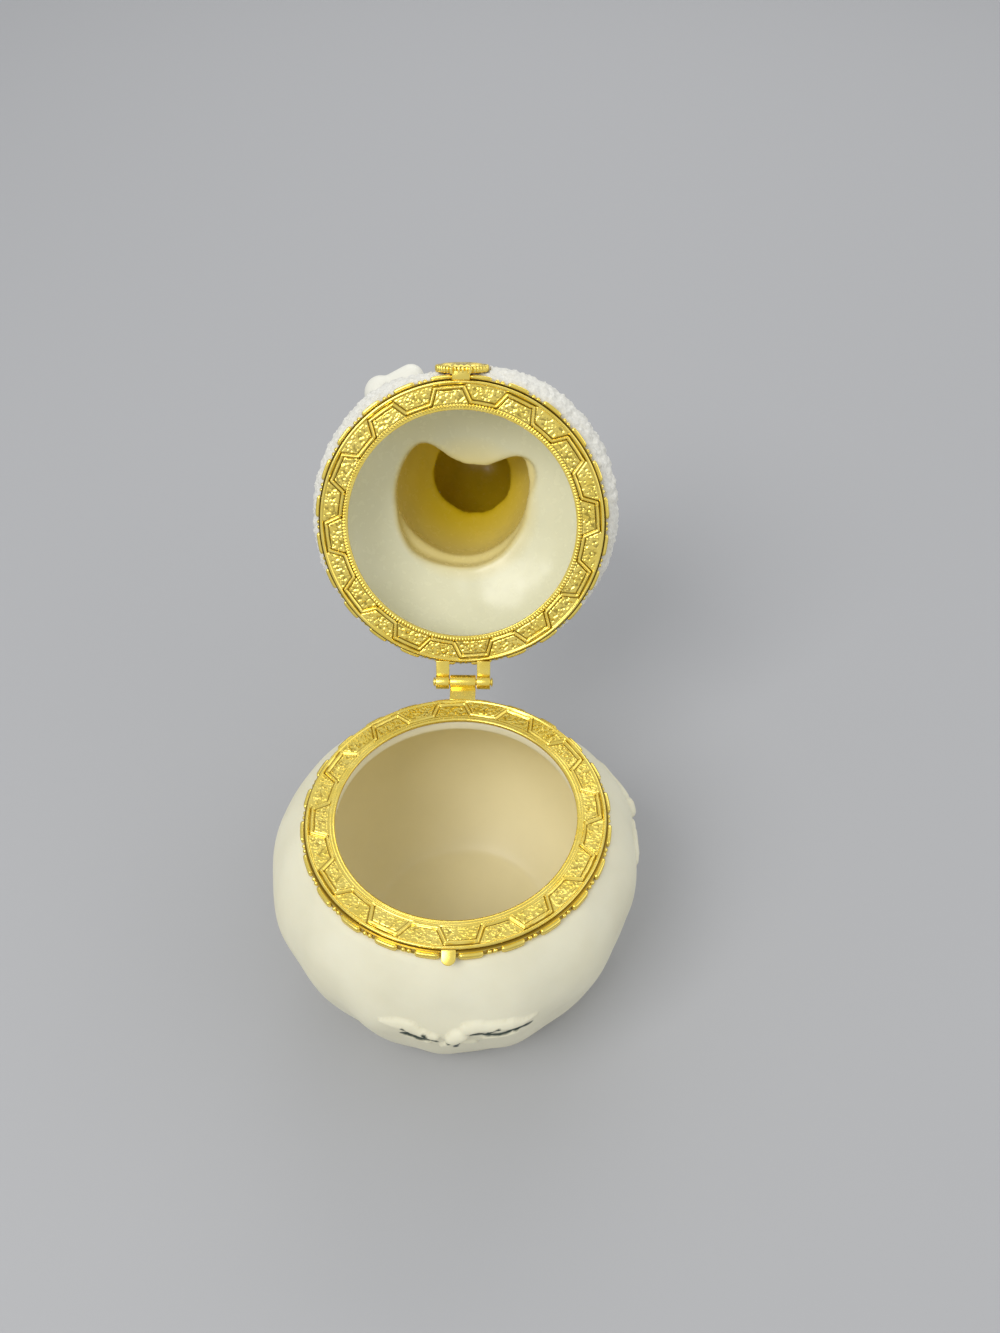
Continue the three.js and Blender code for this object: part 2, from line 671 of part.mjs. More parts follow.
const box = new THREE.Group();
box.add(
  mesh('pot', makePot(), porcelain),
  mesh('pot_rim', giltRing(POT_RAIL_TURN_DEG).translate([0, 0, POT_H]), gilt),
  mesh('pot_hinge_leaf', knuckle(-LEAF_W / 2, LEAF_W / 2, -1), gilt),
  mesh('pot_latch_tab', tab(), gilt),
  mesh('hinge_pin', hingePin(), gilt),
  lidAssembly,
);

export default box;
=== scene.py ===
"""Looks of the snowman trinket box. Lengths are in millimetres until a mesh is made."""

import math
from itertools import product

import bmesh
import bpy
import numpy as np
from mathutils import Matrix
from mathutils.kdtree import KDTree


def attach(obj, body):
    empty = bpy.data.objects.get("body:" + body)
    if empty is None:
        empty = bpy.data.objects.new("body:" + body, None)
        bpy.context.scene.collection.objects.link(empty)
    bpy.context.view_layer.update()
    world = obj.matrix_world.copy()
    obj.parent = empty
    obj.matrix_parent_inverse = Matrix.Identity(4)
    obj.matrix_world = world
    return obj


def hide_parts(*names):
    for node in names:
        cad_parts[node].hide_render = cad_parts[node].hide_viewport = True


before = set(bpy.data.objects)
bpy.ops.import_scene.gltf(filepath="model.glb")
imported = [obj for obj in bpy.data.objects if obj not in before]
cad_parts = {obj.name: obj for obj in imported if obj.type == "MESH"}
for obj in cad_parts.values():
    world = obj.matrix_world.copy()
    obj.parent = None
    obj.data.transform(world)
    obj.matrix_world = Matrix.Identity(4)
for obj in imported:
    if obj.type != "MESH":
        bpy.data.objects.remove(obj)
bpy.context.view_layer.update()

MM = 0.001

# Sizes shared with the solids
GAP = 0.3
MOUTH_R = 29.0
FLANGE_R = 36.0
FLANGE_T = 0.8
RAIL_H = 0.35
RAIL_OUT_R, RAIL_IN_R = 34.5, 31.0
SKIRT_R = 36.5
SKIRT_T = 1.0
SKIRT_H = 2.3
BAR_T = 0.8
BAR_L = 5.4
BAR_H = 1.7
BAR_COUNT = 24
BAR_R = SKIRT_R + BAR_T
FLANGE_LOW = RAIL_H + FLANGE_T
SKIRT_LOW = FLANGE_LOW + SKIRT_H
NECK_OUT_R = SKIRT_R - SKIRT_T - GAP
NECK_IN_R = MOUTH_R + 0.5
NECK_DEPTH = 4.8
SHOULDER_R = SKIRT_R + 0.6
POT_H = 60.0
POT_R = 46.5
BELLY_H = 33.7
FOOT_R = 34.3
POT_WALL = 6.0
FLOOR_T = 5.0
FLOOR_R = 25.0
SHOULDER_H = POT_H - SKIRT_LOW - GAP
DOME_R = 39.6
DOME_WIDE_H = 8.5
DOME_TOP_H = 28.2
DOME_RIM_WALL = 4.0
FIGURE_WALL = 2.6
FIGURE_H = 49.8
HINGE_Y = 41.5
HINGE_Z = 60.35
OPEN = math.radians(118.3)
SHUT = POT_H + GAP
BARREL_R = 1.9
LEAF_W = 6.7
LEAF_T = 1.2
ARM_W = 3.5
PIN_R = 0.8
PIN_HEAD_R = 1.25
PIN_HEAD_T = 0.5
TAB_W = 3.2
TAB_T = 0.8
TAB_REACH = 2.2
TAB_SLOPE = math.radians(32)
PRONG_W = 0.7
MEDALLION_R = 6.7
MEDALLION_T = 1.7
MEDALLION_CROWN = 0.5
MEDALLION_LOW = 0.2


# Shapes in numbers


def lattice(i):
    """A steady number from 0 to 1 for each point of a whole-number grid."""
    n = i.astype(np.int64)
    h = (n[..., 0] * 374761393 + n[..., 1] * 668265263 + n[..., 2] * 1274126177) & 0xFFFFFFFF
    h = ((h ^ (h >> 13)) * 1103515245) & 0xFFFFFFFF
    h = ((h ^ (h >> 15)) * 2654435761) & 0xFFFFFFFF
    return (h ^ (h >> 16)) / 0xFFFFFFFF


def noise(p, size):
    """Smooth noise from -1 to 1, with lumps about as wide as size."""
    q = np.asarray(p, float) / size
    base = np.floor(q)
    f = q - base
    f = f * f * (3 - 2 * f)
    total = 0
    for corner in product((0, 1), repeat=3):
        x, y, z = (f[..., i] if corner[i] else 1 - f[..., i] for i in range(3))
        total = total + x * y * z * lattice(base + corner)
    return 2 * total - 1


def grains(p, size):
    """Rounded grains packed side by side: 1 at the middle of a grain, 0 between grains."""
    q = np.asarray(p, float) / size
    base = np.floor(q)
    nearest = np.full(q.shape[:-1], 9.0)
    for step in product((-1, 0, 1), repeat=3):
        cell = base + step
        point = cell + np.stack([lattice(cell + s) for s in (0, 17, 41)], -1)
        nearest = np.minimum(nearest, ((q - point) ** 2).sum(-1))
    return np.clip(1 - np.sqrt(nearest) / 0.75, 0, 1)


def smooth(x, low, high):
    t = np.clip((x - low) / (high - low), 0, 1)
    return t * t * (3 - 2 * t)


def hump(x):
    return np.exp(-x * x)


def wrap(a):
    return np.arctan2(np.sin(a), np.cos(a))


def circle(count):
    return np.arange(count) * 2 * math.pi / count


def polar(r, azimuth, z):
    """Points at an azimuth from the front, which is towards -Y."""
    return np.stack([r * np.sin(azimuth), -r * np.cos(azimuth), z + 0 * r * azimuth], -1)


def arc(wide, middle, rise, from_r, to_r, count):
    """Part of an ellipse's outline, as radius and height."""
    start, end = (math.acos(min(1, r / wide)) for r in (from_r, to_r))
    t = np.linspace(start, end, count)
    return np.stack([wide * np.cos(t), middle + rise * np.sin(t)], 1)


def rise_through(wide, r, away):
    """The rise of an ellipse that has radius r at the given height from its middle."""
    return away / math.sqrt(1 - (r / wide) ** 2)


def to_segment(u, v, a, b):
    """Distance from points (u, v) to the line from a to b, and how far along it they are."""
    dx, dy = b[0] - a[0], b[1] - a[1]
    t = np.clip(((u - a[0]) * dx + (v - a[1]) * dy) / (dx * dx + dy * dy), 0, 1)
    return np.hypot(u - a[0] - t * dx, v - a[1] - t * dy), t


def turn(p, angle, i=1, j=2):
    """Points turned from axis i towards axis j."""
    c, s = math.cos(angle), math.sin(angle)
    q = p.copy()
    q[..., i] = p[..., i] * c - p[..., j] * s
    q[..., j] = p[..., i] * s + p[..., j] * c
    return q


def swing(p):
    """From the shut lid's place to where it stands open."""
    hinge = np.array([0, HINGE_Y, HINGE_Z])
    return turn(p - hinge, -OPEN) + hinge


# Meshes


def facing_out(points, faces):
    """The faces of one closed shape, turned so that they look outwards."""
    points, volume = np.asarray(points, float), 0.0
    middle = points.mean(0)
    for count in {len(f) for f in faces}:
        corners = points[np.array([f for f in faces if len(f) == count])] - middle
        for k in range(1, count - 1):
            volume += (corners[:, 0] * np.cross(corners[:, k], corners[:, k + 1])).sum()
    return faces if volume > 0 else [f[::-1] for f in faces]


def linked(name, data):
    thing = bpy.data.objects.new(name, data)
    bpy.context.scene.collection.objects.link(thing)
    return thing


def as_object(points, faces, name="work"):
    mesh = bpy.data.meshes.new(name)
    mesh.from_pydata(np.asarray(points).tolist(), [], faces)
    mesh.update()
    return linked(name, mesh)


def make_object(name, points, faces, body, materials, indices=None):
    thing = as_object(np.asarray(points) * MM, facing_out(points, faces), name)
    mesh = thing.data
    for used in materials:
        mesh.materials.append(used)
    if indices is not None:
        mesh.polygons.foreach_set("material_index", np.asarray(indices, np.int32))
    mesh.shade_smooth()
    mesh.validate()
    mesh.update()
    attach(thing, body)
    return thing


def set_layer(thing, name, values):
    layer = thing.data.attributes.new(name, "FLOAT", "POINT")
    layer.data.foreach_set("value", np.asarray(values, np.float32))


def grid_faces(rows, cols, around=True, down=False):
    """Quads over a grid of points, closed around and, if asked, from the last row to the first."""
    i = np.arange(rows if down else rows - 1)
    j = np.arange(cols if around else cols - 1)
    a, b = np.meshgrid(i, j, indexing="ij")
    a2, b2 = (a + 1) % rows, (b + 1) % cols
    quads = np.stack([a * cols + b, a * cols + b2, a2 * cols + b2, a2 * cols + b], -1)
    return quads.reshape(-1, 4).tolist()


def capped(grid, first, last):
    """A closed shape from rings of points, drawn together to a point at either end."""
    rows, cols = grid.shape[:2]
    count, end = rows * cols, (rows - 1) * cols
    faces = grid_faces(rows, cols)
    faces += [[count, (j + 1) % cols, j] for j in range(cols)]
    faces += [[count + 1, end + j, end + (j + 1) % cols] for j in range(cols)]
    return np.concatenate([grid.reshape(-1, 3), [first, last]]), faces


class Parts:
    """Several closed shapes gathered into one mesh."""

    def __init__(self):
        self.points, self.faces, self.count = [], [], 0

    def add(self, points, faces):
        points = np.asarray(points, float).reshape(-1, 3)
        self.points.append(points)
        self.faces += [[v + self.count for v in face] for face in facing_out(points, faces)]
        self.count += len(points)

    def all_points(self):
        return np.concatenate(self.points)


def ball(centre, radii, around=16):
    lat = np.linspace(-math.pi / 2, math.pi / 2, around // 2 + 1)[1:-1]
    a, b = np.meshgrid(lat, circle(around), indexing="ij")
    grid = np.stack([np.cos(a) * np.cos(b), np.cos(a) * np.sin(b), np.sin(a)], -1)
    points, faces = capped(grid, (0, 0, -1), (0, 0, 1))
    return points * np.broadcast_to(radii, 3) + centre, faces


def turned(profile, cols, shape=None):
    """A closed solid turned about the upright axis, its profile starting and ending on the axis."""
    profile = np.asarray(profile, float)
    inner = profile[1:-1]
    grid = polar(inner[:, :1], circle(cols), inner[:, 1:])
    if shape is not None:
        grid = shape(grid)
    return capped(grid, (0, 0, profile[0, 1]), (0, 0, profile[-1, 1]))


# Materials


class Look:
    """A material made of plain noise and of the layers kept on a mesh."""

    def __init__(self, name, roughness, metallic=0.0, scatter=0.0):
        self.made = bpy.data.materials.new(name)
        self.made.use_nodes = True
        self.nodes = self.made.node_tree.nodes
        self.links = self.made.node_tree.links
        self.sockets = self.nodes["Principled BSDF"].inputs
        self.sockets["Roughness"].default_value = roughness
        self.sockets["Metallic"].default_value = metallic
        self.sockets["Subsurface Weight"].default_value = scatter

    def feed(self, socket, value):
        if hasattr(value, "links"):
            self.links.new(value, socket)
        else:
            socket.default_value = value

    def add(self, kind, **inputs):
        node = self.nodes.new("ShaderNode" + kind)
        for name, value in inputs.items():
            self.feed(node.inputs[name.replace("_", " ")], value)
        return node

    def ramp(self, source, *stops):
        """A colour for each value of a socket, from (value, colour) pairs."""
        node = self.add("ValToRGB", Fac=source)
        elements = node.color_ramp.elements
        while len(elements) < len(stops):
            elements.new(0.5)
        for element, (at, colour) in zip(elements, stops):
            element.position = at
            element.color = (*colour, 1)
        return node.outputs["Color"]

    def spots(self, scale, detail=4.0, roughness=0.55):
        where = self.add("TexCoord").outputs["Object"]
        node = self.add("TexNoise", Vector=where, Scale=scale, Detail=detail, Roughness=roughness)
        return node.outputs["Fac"]

    def layer(self, name):
        node = self.add("Attribute")
        node.attribute_name = name
        return node.outputs["Fac"]

    def mix(self, factor, a, b, mode="MIX"):
        node = self.add("Mix")
        node.data_type = "RGBA"
        node.blend_type = mode
        for socket, value in ((node.inputs["Factor"], factor), (node.inputs[6], a), (node.inputs[7], b)):
            self.feed(socket, value)
        return node.outputs[2]

    def colour(self, source):
        self.links.new(source, self.sockets["Base Color"])

    def roughen(self, source, low, high):
        node = self.add("MapRange", Value=source, To_Min=low, To_Max=high)
        self.links.new(node.outputs["Result"], self.sockets["Roughness"])

    def bump(self, height, strength, distance):
        node = self.add("Bump", Height=height, Strength=strength, Distance=distance)
        self.links.new(node.outputs["Normal"], self.sockets["Normal"])


def bisque():
    """Unglazed white porcelain, faintly mottled, with the painted twigs and painted shade at the foot of the
    raised snow.
    """
    look = Look("bisque_porcelain", 0.5, scatter=0.08)
    look.sockets["Subsurface Radius"].default_value = (0.004, 0.003, 0.002)
    body = look.ramp(look.spots(60), (0.3, (0.73, 0.69, 0.5)), (0.7, (0.79, 0.755, 0.57)))
    # painted shade: the hollow layer darkens the pot where the raised snow meets it
    hollow = look.ramp(look.layer("hollow"), (0.0, (1, 1, 1)), (1.0, (0.8, 0.76, 0.62)))
    shaded_body = look.mix(1.0, body, hollow, "MULTIPLY")
    look.colour(look.mix(look.layer("paint"), shaded_body, (0.012, 0.03, 0.02, 1)))
    look.roughen(look.spots(900), 0.42, 0.62)
    look.bump(look.spots(1600, 3), 0.12, 0.0002)
    return look.made


def inside_porcelain(name, shine, *stops):
    """The cream inside, its tone set by depth through the given stops; in the lid the deep tones are painted
    shade.
    """
    look = Look(name, shine)
    deep = look.ramp(look.layer("depth"), *stops)
    cloudy = look.ramp(look.spots(45), (0.3, (0.94, 0.94, 0.92)), (0.7, (1, 1, 1)))
    look.colour(look.mix(1.0, deep, cloudy, "MULTIPLY"))
    look.roughen(look.spots(500), shine - 0.06, shine + 0.1)
    look.bump(look.spots(700, 3), 0.06, 0.0002)
    return look.made


def snow():
    """Rough sugary snow fired on to the porcelain."""
    look = Look("snow_crystals", 0.75, scatter=0.1)
    look.sockets["Subsurface Radius"].default_value = (0.003, 0.003, 0.003)
    fine = look.spots(1100, 5, 0.7)
    look.colour(look.ramp(fine, (0.3, (0.72, 0.7, 0.62)), (0.65, (0.9, 0.88, 0.8))))
    look.roughen(fine, 0.35, 0.9)
    look.bump(look.spots(1500, 5, 0.8), 0.7, 0.0005)
    return look.made


def paint(name, light, dark, roughness, scale=300):
    look = Look(name, roughness)
    cloudy = look.spots(scale)
    look.colour(look.ramp(cloudy, (0.35, dark), (0.65, light)))
    look.roughen(cloudy, roughness - 0.08, roughness + 0.1)
    look.bump(look.spots(1200, 3), 0.15, 0.0002)
    return look.made


def gilt(name, polish, hollow=None):
    """Gilt metal. Chased work is darker in its hollows, grooves and under its edges, from the height layer:
    toning and painted shade.
    """
    look = Look(name, polish, 1.0)
    tint = look.ramp(look.spots(260), (0.3, (0.95, 0.71, 0.12)), (0.7, (1.0, 0.8, 0.2)))
    if hollow:
        # toning and painted shade: the height layer darkens the hollows towards the hollow colour
        half = tuple(0.45 + 0.5 * c for c in hollow)
        hollows = look.ramp(look.layer("height"), (0.05, hollow), (0.32, half), (0.46, (1, 1, 1)))
        tint = look.mix(1.0, tint, hollows, "MULTIPLY")
    look.colour(tint)
    rubbed = look.spots(1300, 3)
    look.roughen(rubbed, polish - 0.06, polish + 0.1)
    look.bump(rubbed, 0.05, 0.0001)
    return look.made


POT_SKIN = bisque()
POT_INSIDE = inside_porcelain(
    "cream_inside", 0.4, (0.0, (0.9, 0.84, 0.62)), (0.25, (0.84, 0.73, 0.4)), (1.0, (0.92, 0.84, 0.56))
)
# the lid's inside: cream near its rim, then tan and deep olive higher inside the snowman, which is painted
# shade
LID_INSIDE = inside_porcelain(
    "cream_inside_lid_painted_shade",
    0.24,
    (0.0, (0.82, 0.81, 0.62)),
    (0.375, (0.82, 0.79, 0.56)),
    (0.41, (0.84, 0.72, 0.34)),
    (0.6, (0.77, 0.6, 0.14)),
    (0.72, (0.7, 0.5, 0.012)),
)
SNOW = snow()
MITTEN = paint("smooth_bisque", (0.84, 0.82, 0.72), (0.78, 0.76, 0.66), 0.5, 80)
SCARF = paint("sage_paint", (0.36, 0.43, 0.33), (0.25, 0.31, 0.24), 0.6)
CARROT = paint("carrot_paint", (0.78, 0.26, 0.05), (0.62, 0.17, 0.03), 0.5)
COAL = paint("coal_paint", (0.03, 0.03, 0.035), (0.015, 0.015, 0.018), 0.4)
# The hollow colours darken the chased work with toning and painted shade, far darker on the lid's ring and
# the medallion.
BRIGHT_GILT = gilt("bright_chased_gilt", 0.22, (0.3, 0.22, 0.08))
DARK_GILT = gilt("toned_gilt_with_painted_shade", 0.2, (0.09, 0.065, 0.012))
POLISHED_GILT = gilt("polished_gilt", 0.24)


# Pot

POT_RISE = rise_through(POT_R, SHOULDER_R, SHOULDER_H - BELLY_H)
# azimuth, height, half-width in degrees, half-height, and how far out, as shares of the height
POT_SWELLS = [
    (-110, 0.75, 35, 0.25, 0.026),
    (118, 0.77, 22, 0.2, 0.026),
    (50, 0.42, 42, 0.35, -0.042),
    (-25, 0.35, 38, 0.35, -0.028),
    (105, 0.66, 20, 0.12, 0.01),
    (1, 0.77, 8, 0.08, -0.012),
    (0, 0.63, 24, 0.07, 0.01),
    (22, 0.13, 40, 0.13, -0.052),
    (95, 0.65, 15, 0.12, -0.026),
    (70, 0.55, 13, 0.16, -0.018),
    (-128, 0.85, 20, 0.12, 0.03),
    (0, 0.12, 9, 0.08, -0.02),
    (-88, 0.68, 10, 0.1, 0.014),
]
# Snow on the twigs: points of its ridge (degrees, height), half-width and depth at each
DRIFTS = [
    [((-20, 38.9), 1.0, 0.7), ((-16.5, 38.9), 1.9, 1.3), ((-12, 38.9), 2.1, 1.3), ((-8, 37.9), 1.7, 1.2)],
    [((-8, 37.6), 1.5, 1.0), ((-4.5, 37.3), 1.3, 0.9)],
    [((4.9, 39.8), 2.0, 1.5), ((8, 40.2), 2.0, 1.3), ((12, 39.8), 1.7, 1.2)],
    [((12, 39.8), 1.7, 1.1), ((17.5, 39.6), 1.8, 1.2), ((21, 38.8), 1.3, 0.9), ((25.5, 38.5), 0.6, 0.4)],
    [((1.3, 36.9), 2.6, 2.0), ((2.6, 38.0), 2.5, 2.1)],
    [((-2.2, 31.8), 1.3, 0.9), ((-0.8, 33.2), 1.5, 1.1)],
    [((3.6, 34.2), 1.4, 1.0), ((5.8, 32.6), 1.5, 1.0)],
    [((-13, 33.6), 1.0, 0.5), ((-7, 33.4), 1.2, 0.6)],
    [((10, 35), 1.0, 0.5), ((19, 35.3), 1.0, 0.5)],
]
# Twigs: points of the painted lines (degrees, height)
TWIGS = [
    [(-14.6, 34.5), (-13.1, 35.1), (-11.3, 35.0), (-9.4, 34.6), (-7.2, 34.9), (-5.7, 35.3), (-4.2, 34.6)],
    [(-12.4, 35.1), (-13.6, 38.5)],
    [(-6.2, 35.2), (-7.5, 38.2)],
    [(5.8, 37.5), (9.0, 37.3), (11.2, 36.6), (14.8, 36.5), (17.8, 37.0), (20.8, 36.7), (23.6, 36.2)],
    [(10.4, 37.1), (13.6, 39.6)],
    [(-0.6, 34.5), (1.1, 35.3)],
    [(3.9, 32.6), (2.2, 32.1), (1.2, 29.6), (1.1, 28.4)],
    [(1.9, 31.6), (-1.3, 30.7)],
]
# Sprigs: where each starts (degrees), and how far up it is moved
SPRIGS = [(0, 0), (108, 3.1)]


def pot_radius(z):
    upper = POT_R * np.sqrt(np.clip(1 - ((z - BELLY_H) / POT_RISE) ** 2, 0, 1))
    lower = POT_R - (POT_R - FOOT_R) * (np.clip(BELLY_H - z, 0, BELLY_H) / BELLY_H) ** 1.6
    return np.where(z > BELLY_H, upper, lower)


def swelling(azimuth, z):
    """How far the snow swells beyond the plain round pot, fading out at its foot and shoulder."""
    fade = np.clip(np.sin(math.pi * np.clip(z / SHOULDER_H, 0, 1)), 0, 1) ** 0.7
    turned_on = azimuth + 0.12 * np.sin(2 * azimuth + 0.7)
    out = 0.4 * np.cos(14 * turned_on) + 0.25 * np.cos(9 * azimuth + z / 9)
    for at, high, wide, tall, far in POT_SWELLS:
        around = wrap(azimuth - math.radians(at)) / math.radians(wide)
        out = out + far * POT_H * hump(around) * hump((z / POT_H - high) / tall)
    return fade * out


def relief(azimuth, z):
    """How far the sprigs stand out, and where their twigs are painted."""
    out, painted = 0 * z, 0 * z
    per_degree = math.radians(1) * POT_R
    for start, up in SPRIGS:
        u = wrap(azimuth - math.radians(start)) * POT_R
        v = z - up
        near = np.abs(u) < 30 * per_degree
        lumpy = 1 + 0.16 * noise(np.stack([u, v, 0 * u + start], -1), 1.7)
        for drift in DRIFTS:
            for (a, wa, ha), (b, wb, hb) in zip(drift, drift[1:]):
                d, t = to_segment(u, v, (a[0] * per_degree, a[1]), (b[0] * per_degree, b[1]))
                under = smooth(-(v - (a[1] + (b[1] - a[1]) * t)), 0, 0.6)
                width = (wa + (wb - wa) * t) * (1 - 0.35 * under)
                high = np.clip(1 - (d / (width * lumpy)) ** 2, 0, 1) ** 0.55
                out = np.maximum(out, near * high * 0.8 * (ha + (hb - ha) * t))
        rough = 1 + 0.35 * noise(np.stack([u, v, 0 * u + 5], -1), 0.8)
        for twig in TWIGS:
            for a, b in zip(twig, twig[1:]):
                d, t = to_segment(u, v, (a[0] * per_degree, a[1]), (b[0] * per_degree, b[1]))
                thick = 0.75 + 0.5 * hump((t - 0.5) / 0.6)
                painted = np.maximum(painted, near * (1 - smooth(d / rough / thick, 0.3, 0.7)))
    return out, painted


def make_pot():
    degrees = []
    a = -180.0
    while a < 180 - 1e-6:
        degrees.append(a)
        a += 0.42 if -27 < a < 29 or 83 < a < 136 else 1.5  # finer where the sprigs are
    azimuth = np.radians(degrees)
    cols = len(azimuth)
    z = np.concatenate(
        [np.linspace(1.0, 26.5, 18), np.linspace(26.9, 46.5, 52), np.linspace(47.3, SHOULDER_H - 0.35, 9)]
    )
    top = POT_H - FLANGE_LOW - GAP
    foot = [(r, 0.0) for r in (8, 18, 27, FOOT_R - 1.6)] + [(FOOT_R - 1.0, 0.08), (FOOT_R - 0.6, 0.45)]
    shoulder = [(SHOULDER_R - 0.15, SHOULDER_H - 0.12), (SHOULDER_R - 0.4, SHOULDER_H)]
    shoulder += [(NECK_OUT_R, SHOULDER_H), (NECK_OUT_R, top)]
    wide = POT_R - POT_WALL
    rise = rise_through(wide, NECK_IN_R, POT_H - NECK_DEPTH - BELLY_H)
    fall = rise_through(wide, FLOOR_R, BELLY_H - FLOOR_T)
    neck = [(NECK_IN_R + 0.35, top), (NECK_IN_R, top - 0.35), (NECK_IN_R, 57.2), (NECK_IN_R, 56.2)]
    neck += [(NECK_IN_R + 0.05, 55.5)]
    upper = arc(wide, BELLY_H, rise, NECK_IN_R + 0.3, wide, 14)
    lower = arc(wide, BELLY_H, -fall, wide, FLOOR_R + 0.7, 16)[1:]
    floor = [(FLOOR_R - 0.2, FLOOR_T + 0.12), (FLOOR_R - 1.4, FLOOR_T), (16, FLOOR_T), (8, FLOOR_T)]
    inner = np.concatenate([neck, upper, lower, floor])

    drawn_in = -1.2 * hump(wrap(azimuth - 0.25) / 0.6)  # the foot's front
    rows = [polar(r + drawn_in * smooth(r, 20, 30), azimuth, h) for r, h in foot]
    r = pot_radius(z)[:, None] + swelling(azimuth, z[:, None])
    r = r + drawn_in * (1 - smooth(z, 0, 9))[:, None]
    out, painted = relief(*np.broadcast_arrays(azimuth, z[:, None]))
    body = polar(r + out, azimuth, z[:, None])
    body = body + 0.1 * noise(body, 5)[..., None] * (body / np.linalg.norm(body, axis=-1, keepdims=True))
    rows += list(body)
    rows += [polar(r, azimuth, h) for r, h in shoulder]
    inside = len(rows)
    rows += [polar(r, azimuth, h) for r, h in inner]
    points, faces = capped(np.array(rows), (0, 0, 0), (0, 0, FLOOR_T))
    indices = np.zeros(len(faces), int)
    indices[(inside - 1) * cols : (len(rows) - 1) * cols] = 1
    indices[-cols:] = 1
    pot = make_object("pot_porcelain", points, faces, "pot", [POT_SKIN, POT_INSIDE], indices)

    def keep(name, first, values, last=0):
        layer = np.zeros((len(rows), cols))
        layer[first : first + len(values)] = values
        set_layer(pot, name, np.concatenate([layer.ravel(), [0, last]]))

    # painted shade: a mask along the low foot of each snow drift, kept as the hollow layer
    beside = (1 - smooth(out, 0.02, 0.5)) * hump((out - 0.15) / 0.25) * (out > 0)
    below = POT_H - inner[:, 1:]
    keep("paint", len(foot), painted)
    keep("hollow", len(foot), 0.35 * beside)
    keep("depth", inside, smooth(below, 3.5, 6.5) * 0.3 + np.clip((below - 5) / 50, 0, 1) * 0.7, 1)
    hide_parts("pot")


make_pot()


# Gilt rings

RING_COLS = 1200


def rail_corners(turn_deg):
    """The corners of the zigzag, twelve times around."""
    corners = []
    for i in range(24):
        r = RAIL_IN_R if i % 2 else RAIL_OUT_R
        for side in (-5.9, 5.9):
            azimuth = math.radians(turn_deg + 15 * i + side)
            corners.append((r * math.sin(azimuth), -r * math.cos(azimuth)))
    return corners


def flange_height(r, azimuth, turn_deg, teeth):
    """The chased flange: its height below the rail's top, from -1 to 0 or so."""
    x, y = r * np.sin(azimuth), -r * np.cos(azimuth)
    corners = rail_corners(turn_deg)
    d = np.full(r.shape, 99.0)
    for a, b in zip(corners, corners[1:] + corners[:1]):
        d = np.minimum(d, to_segment(x, y, a, b)[0])
    flat = -RAIL_H
    # scrolls and granulation in the panels
    p = np.stack([x, y, 0 * x], -1)
    leaf = 1 - smooth(np.abs(noise(p + 7, 1.3)), 0.05, 0.25)
    field = 0.15 * smooth(grains(p, 0.66), 0.04, 0.36) + 0.08 * leaf - 0.2
    outer_edge = smooth(35.05 - r, 0, 0.3)
    inner_edge = smooth(r - (30.45 if teeth else 30.75), 0, 0.3)
    base = flat + field * smooth(d, 0.55, 0.95) * outer_edge * inner_edge
    # the rail with a sunk line either side
    rail = flat + 0.34 * np.clip(1 - (d / 0.33) ** 4, 0, 1) ** 0.5
    groove = flat - 0.36 * hump((d - 0.5) / (0.2 if teeth else 0.15))
    base = np.where(d < 0.34, np.maximum(base, rail), np.minimum(base, np.where(d < 0.75, groove, base)))
    # outer border
    base = np.where(r > 35.25, flat + 0.2 * np.clip(1 - ((r - 35.6) / 0.36) ** 2, 0, 1) ** 0.5, base)
    base = base - 0.25 * hump((r - 35.17) / 0.1)
    # inner border
    if teeth:
        tooth = np.clip(np.cos(azimuth * 240), -0.3, 1)
        bead = flat - 0.1 + 0.3 * tooth * np.clip(1 - ((r - 29.95) / 0.42) ** 2, 0, 1)
        base = np.where(r < 30.35, bead, base)
        base = base - 0.3 * hump((r - 30.42) / 0.1)
        return np.where(r < 29.5, flat - 0.12, base)
    base = np.where(r < 30.55, flat + 0.06, base)
    base = base - 0.22 * hump((r - 30.62) / 0.1) - 0.18 * hump((r - 29.75) / 0.12)
    return np.where(r < 29.7, flat + 0.12 - 0.5 * np.clip(29.35 - r, 0, 1), base)


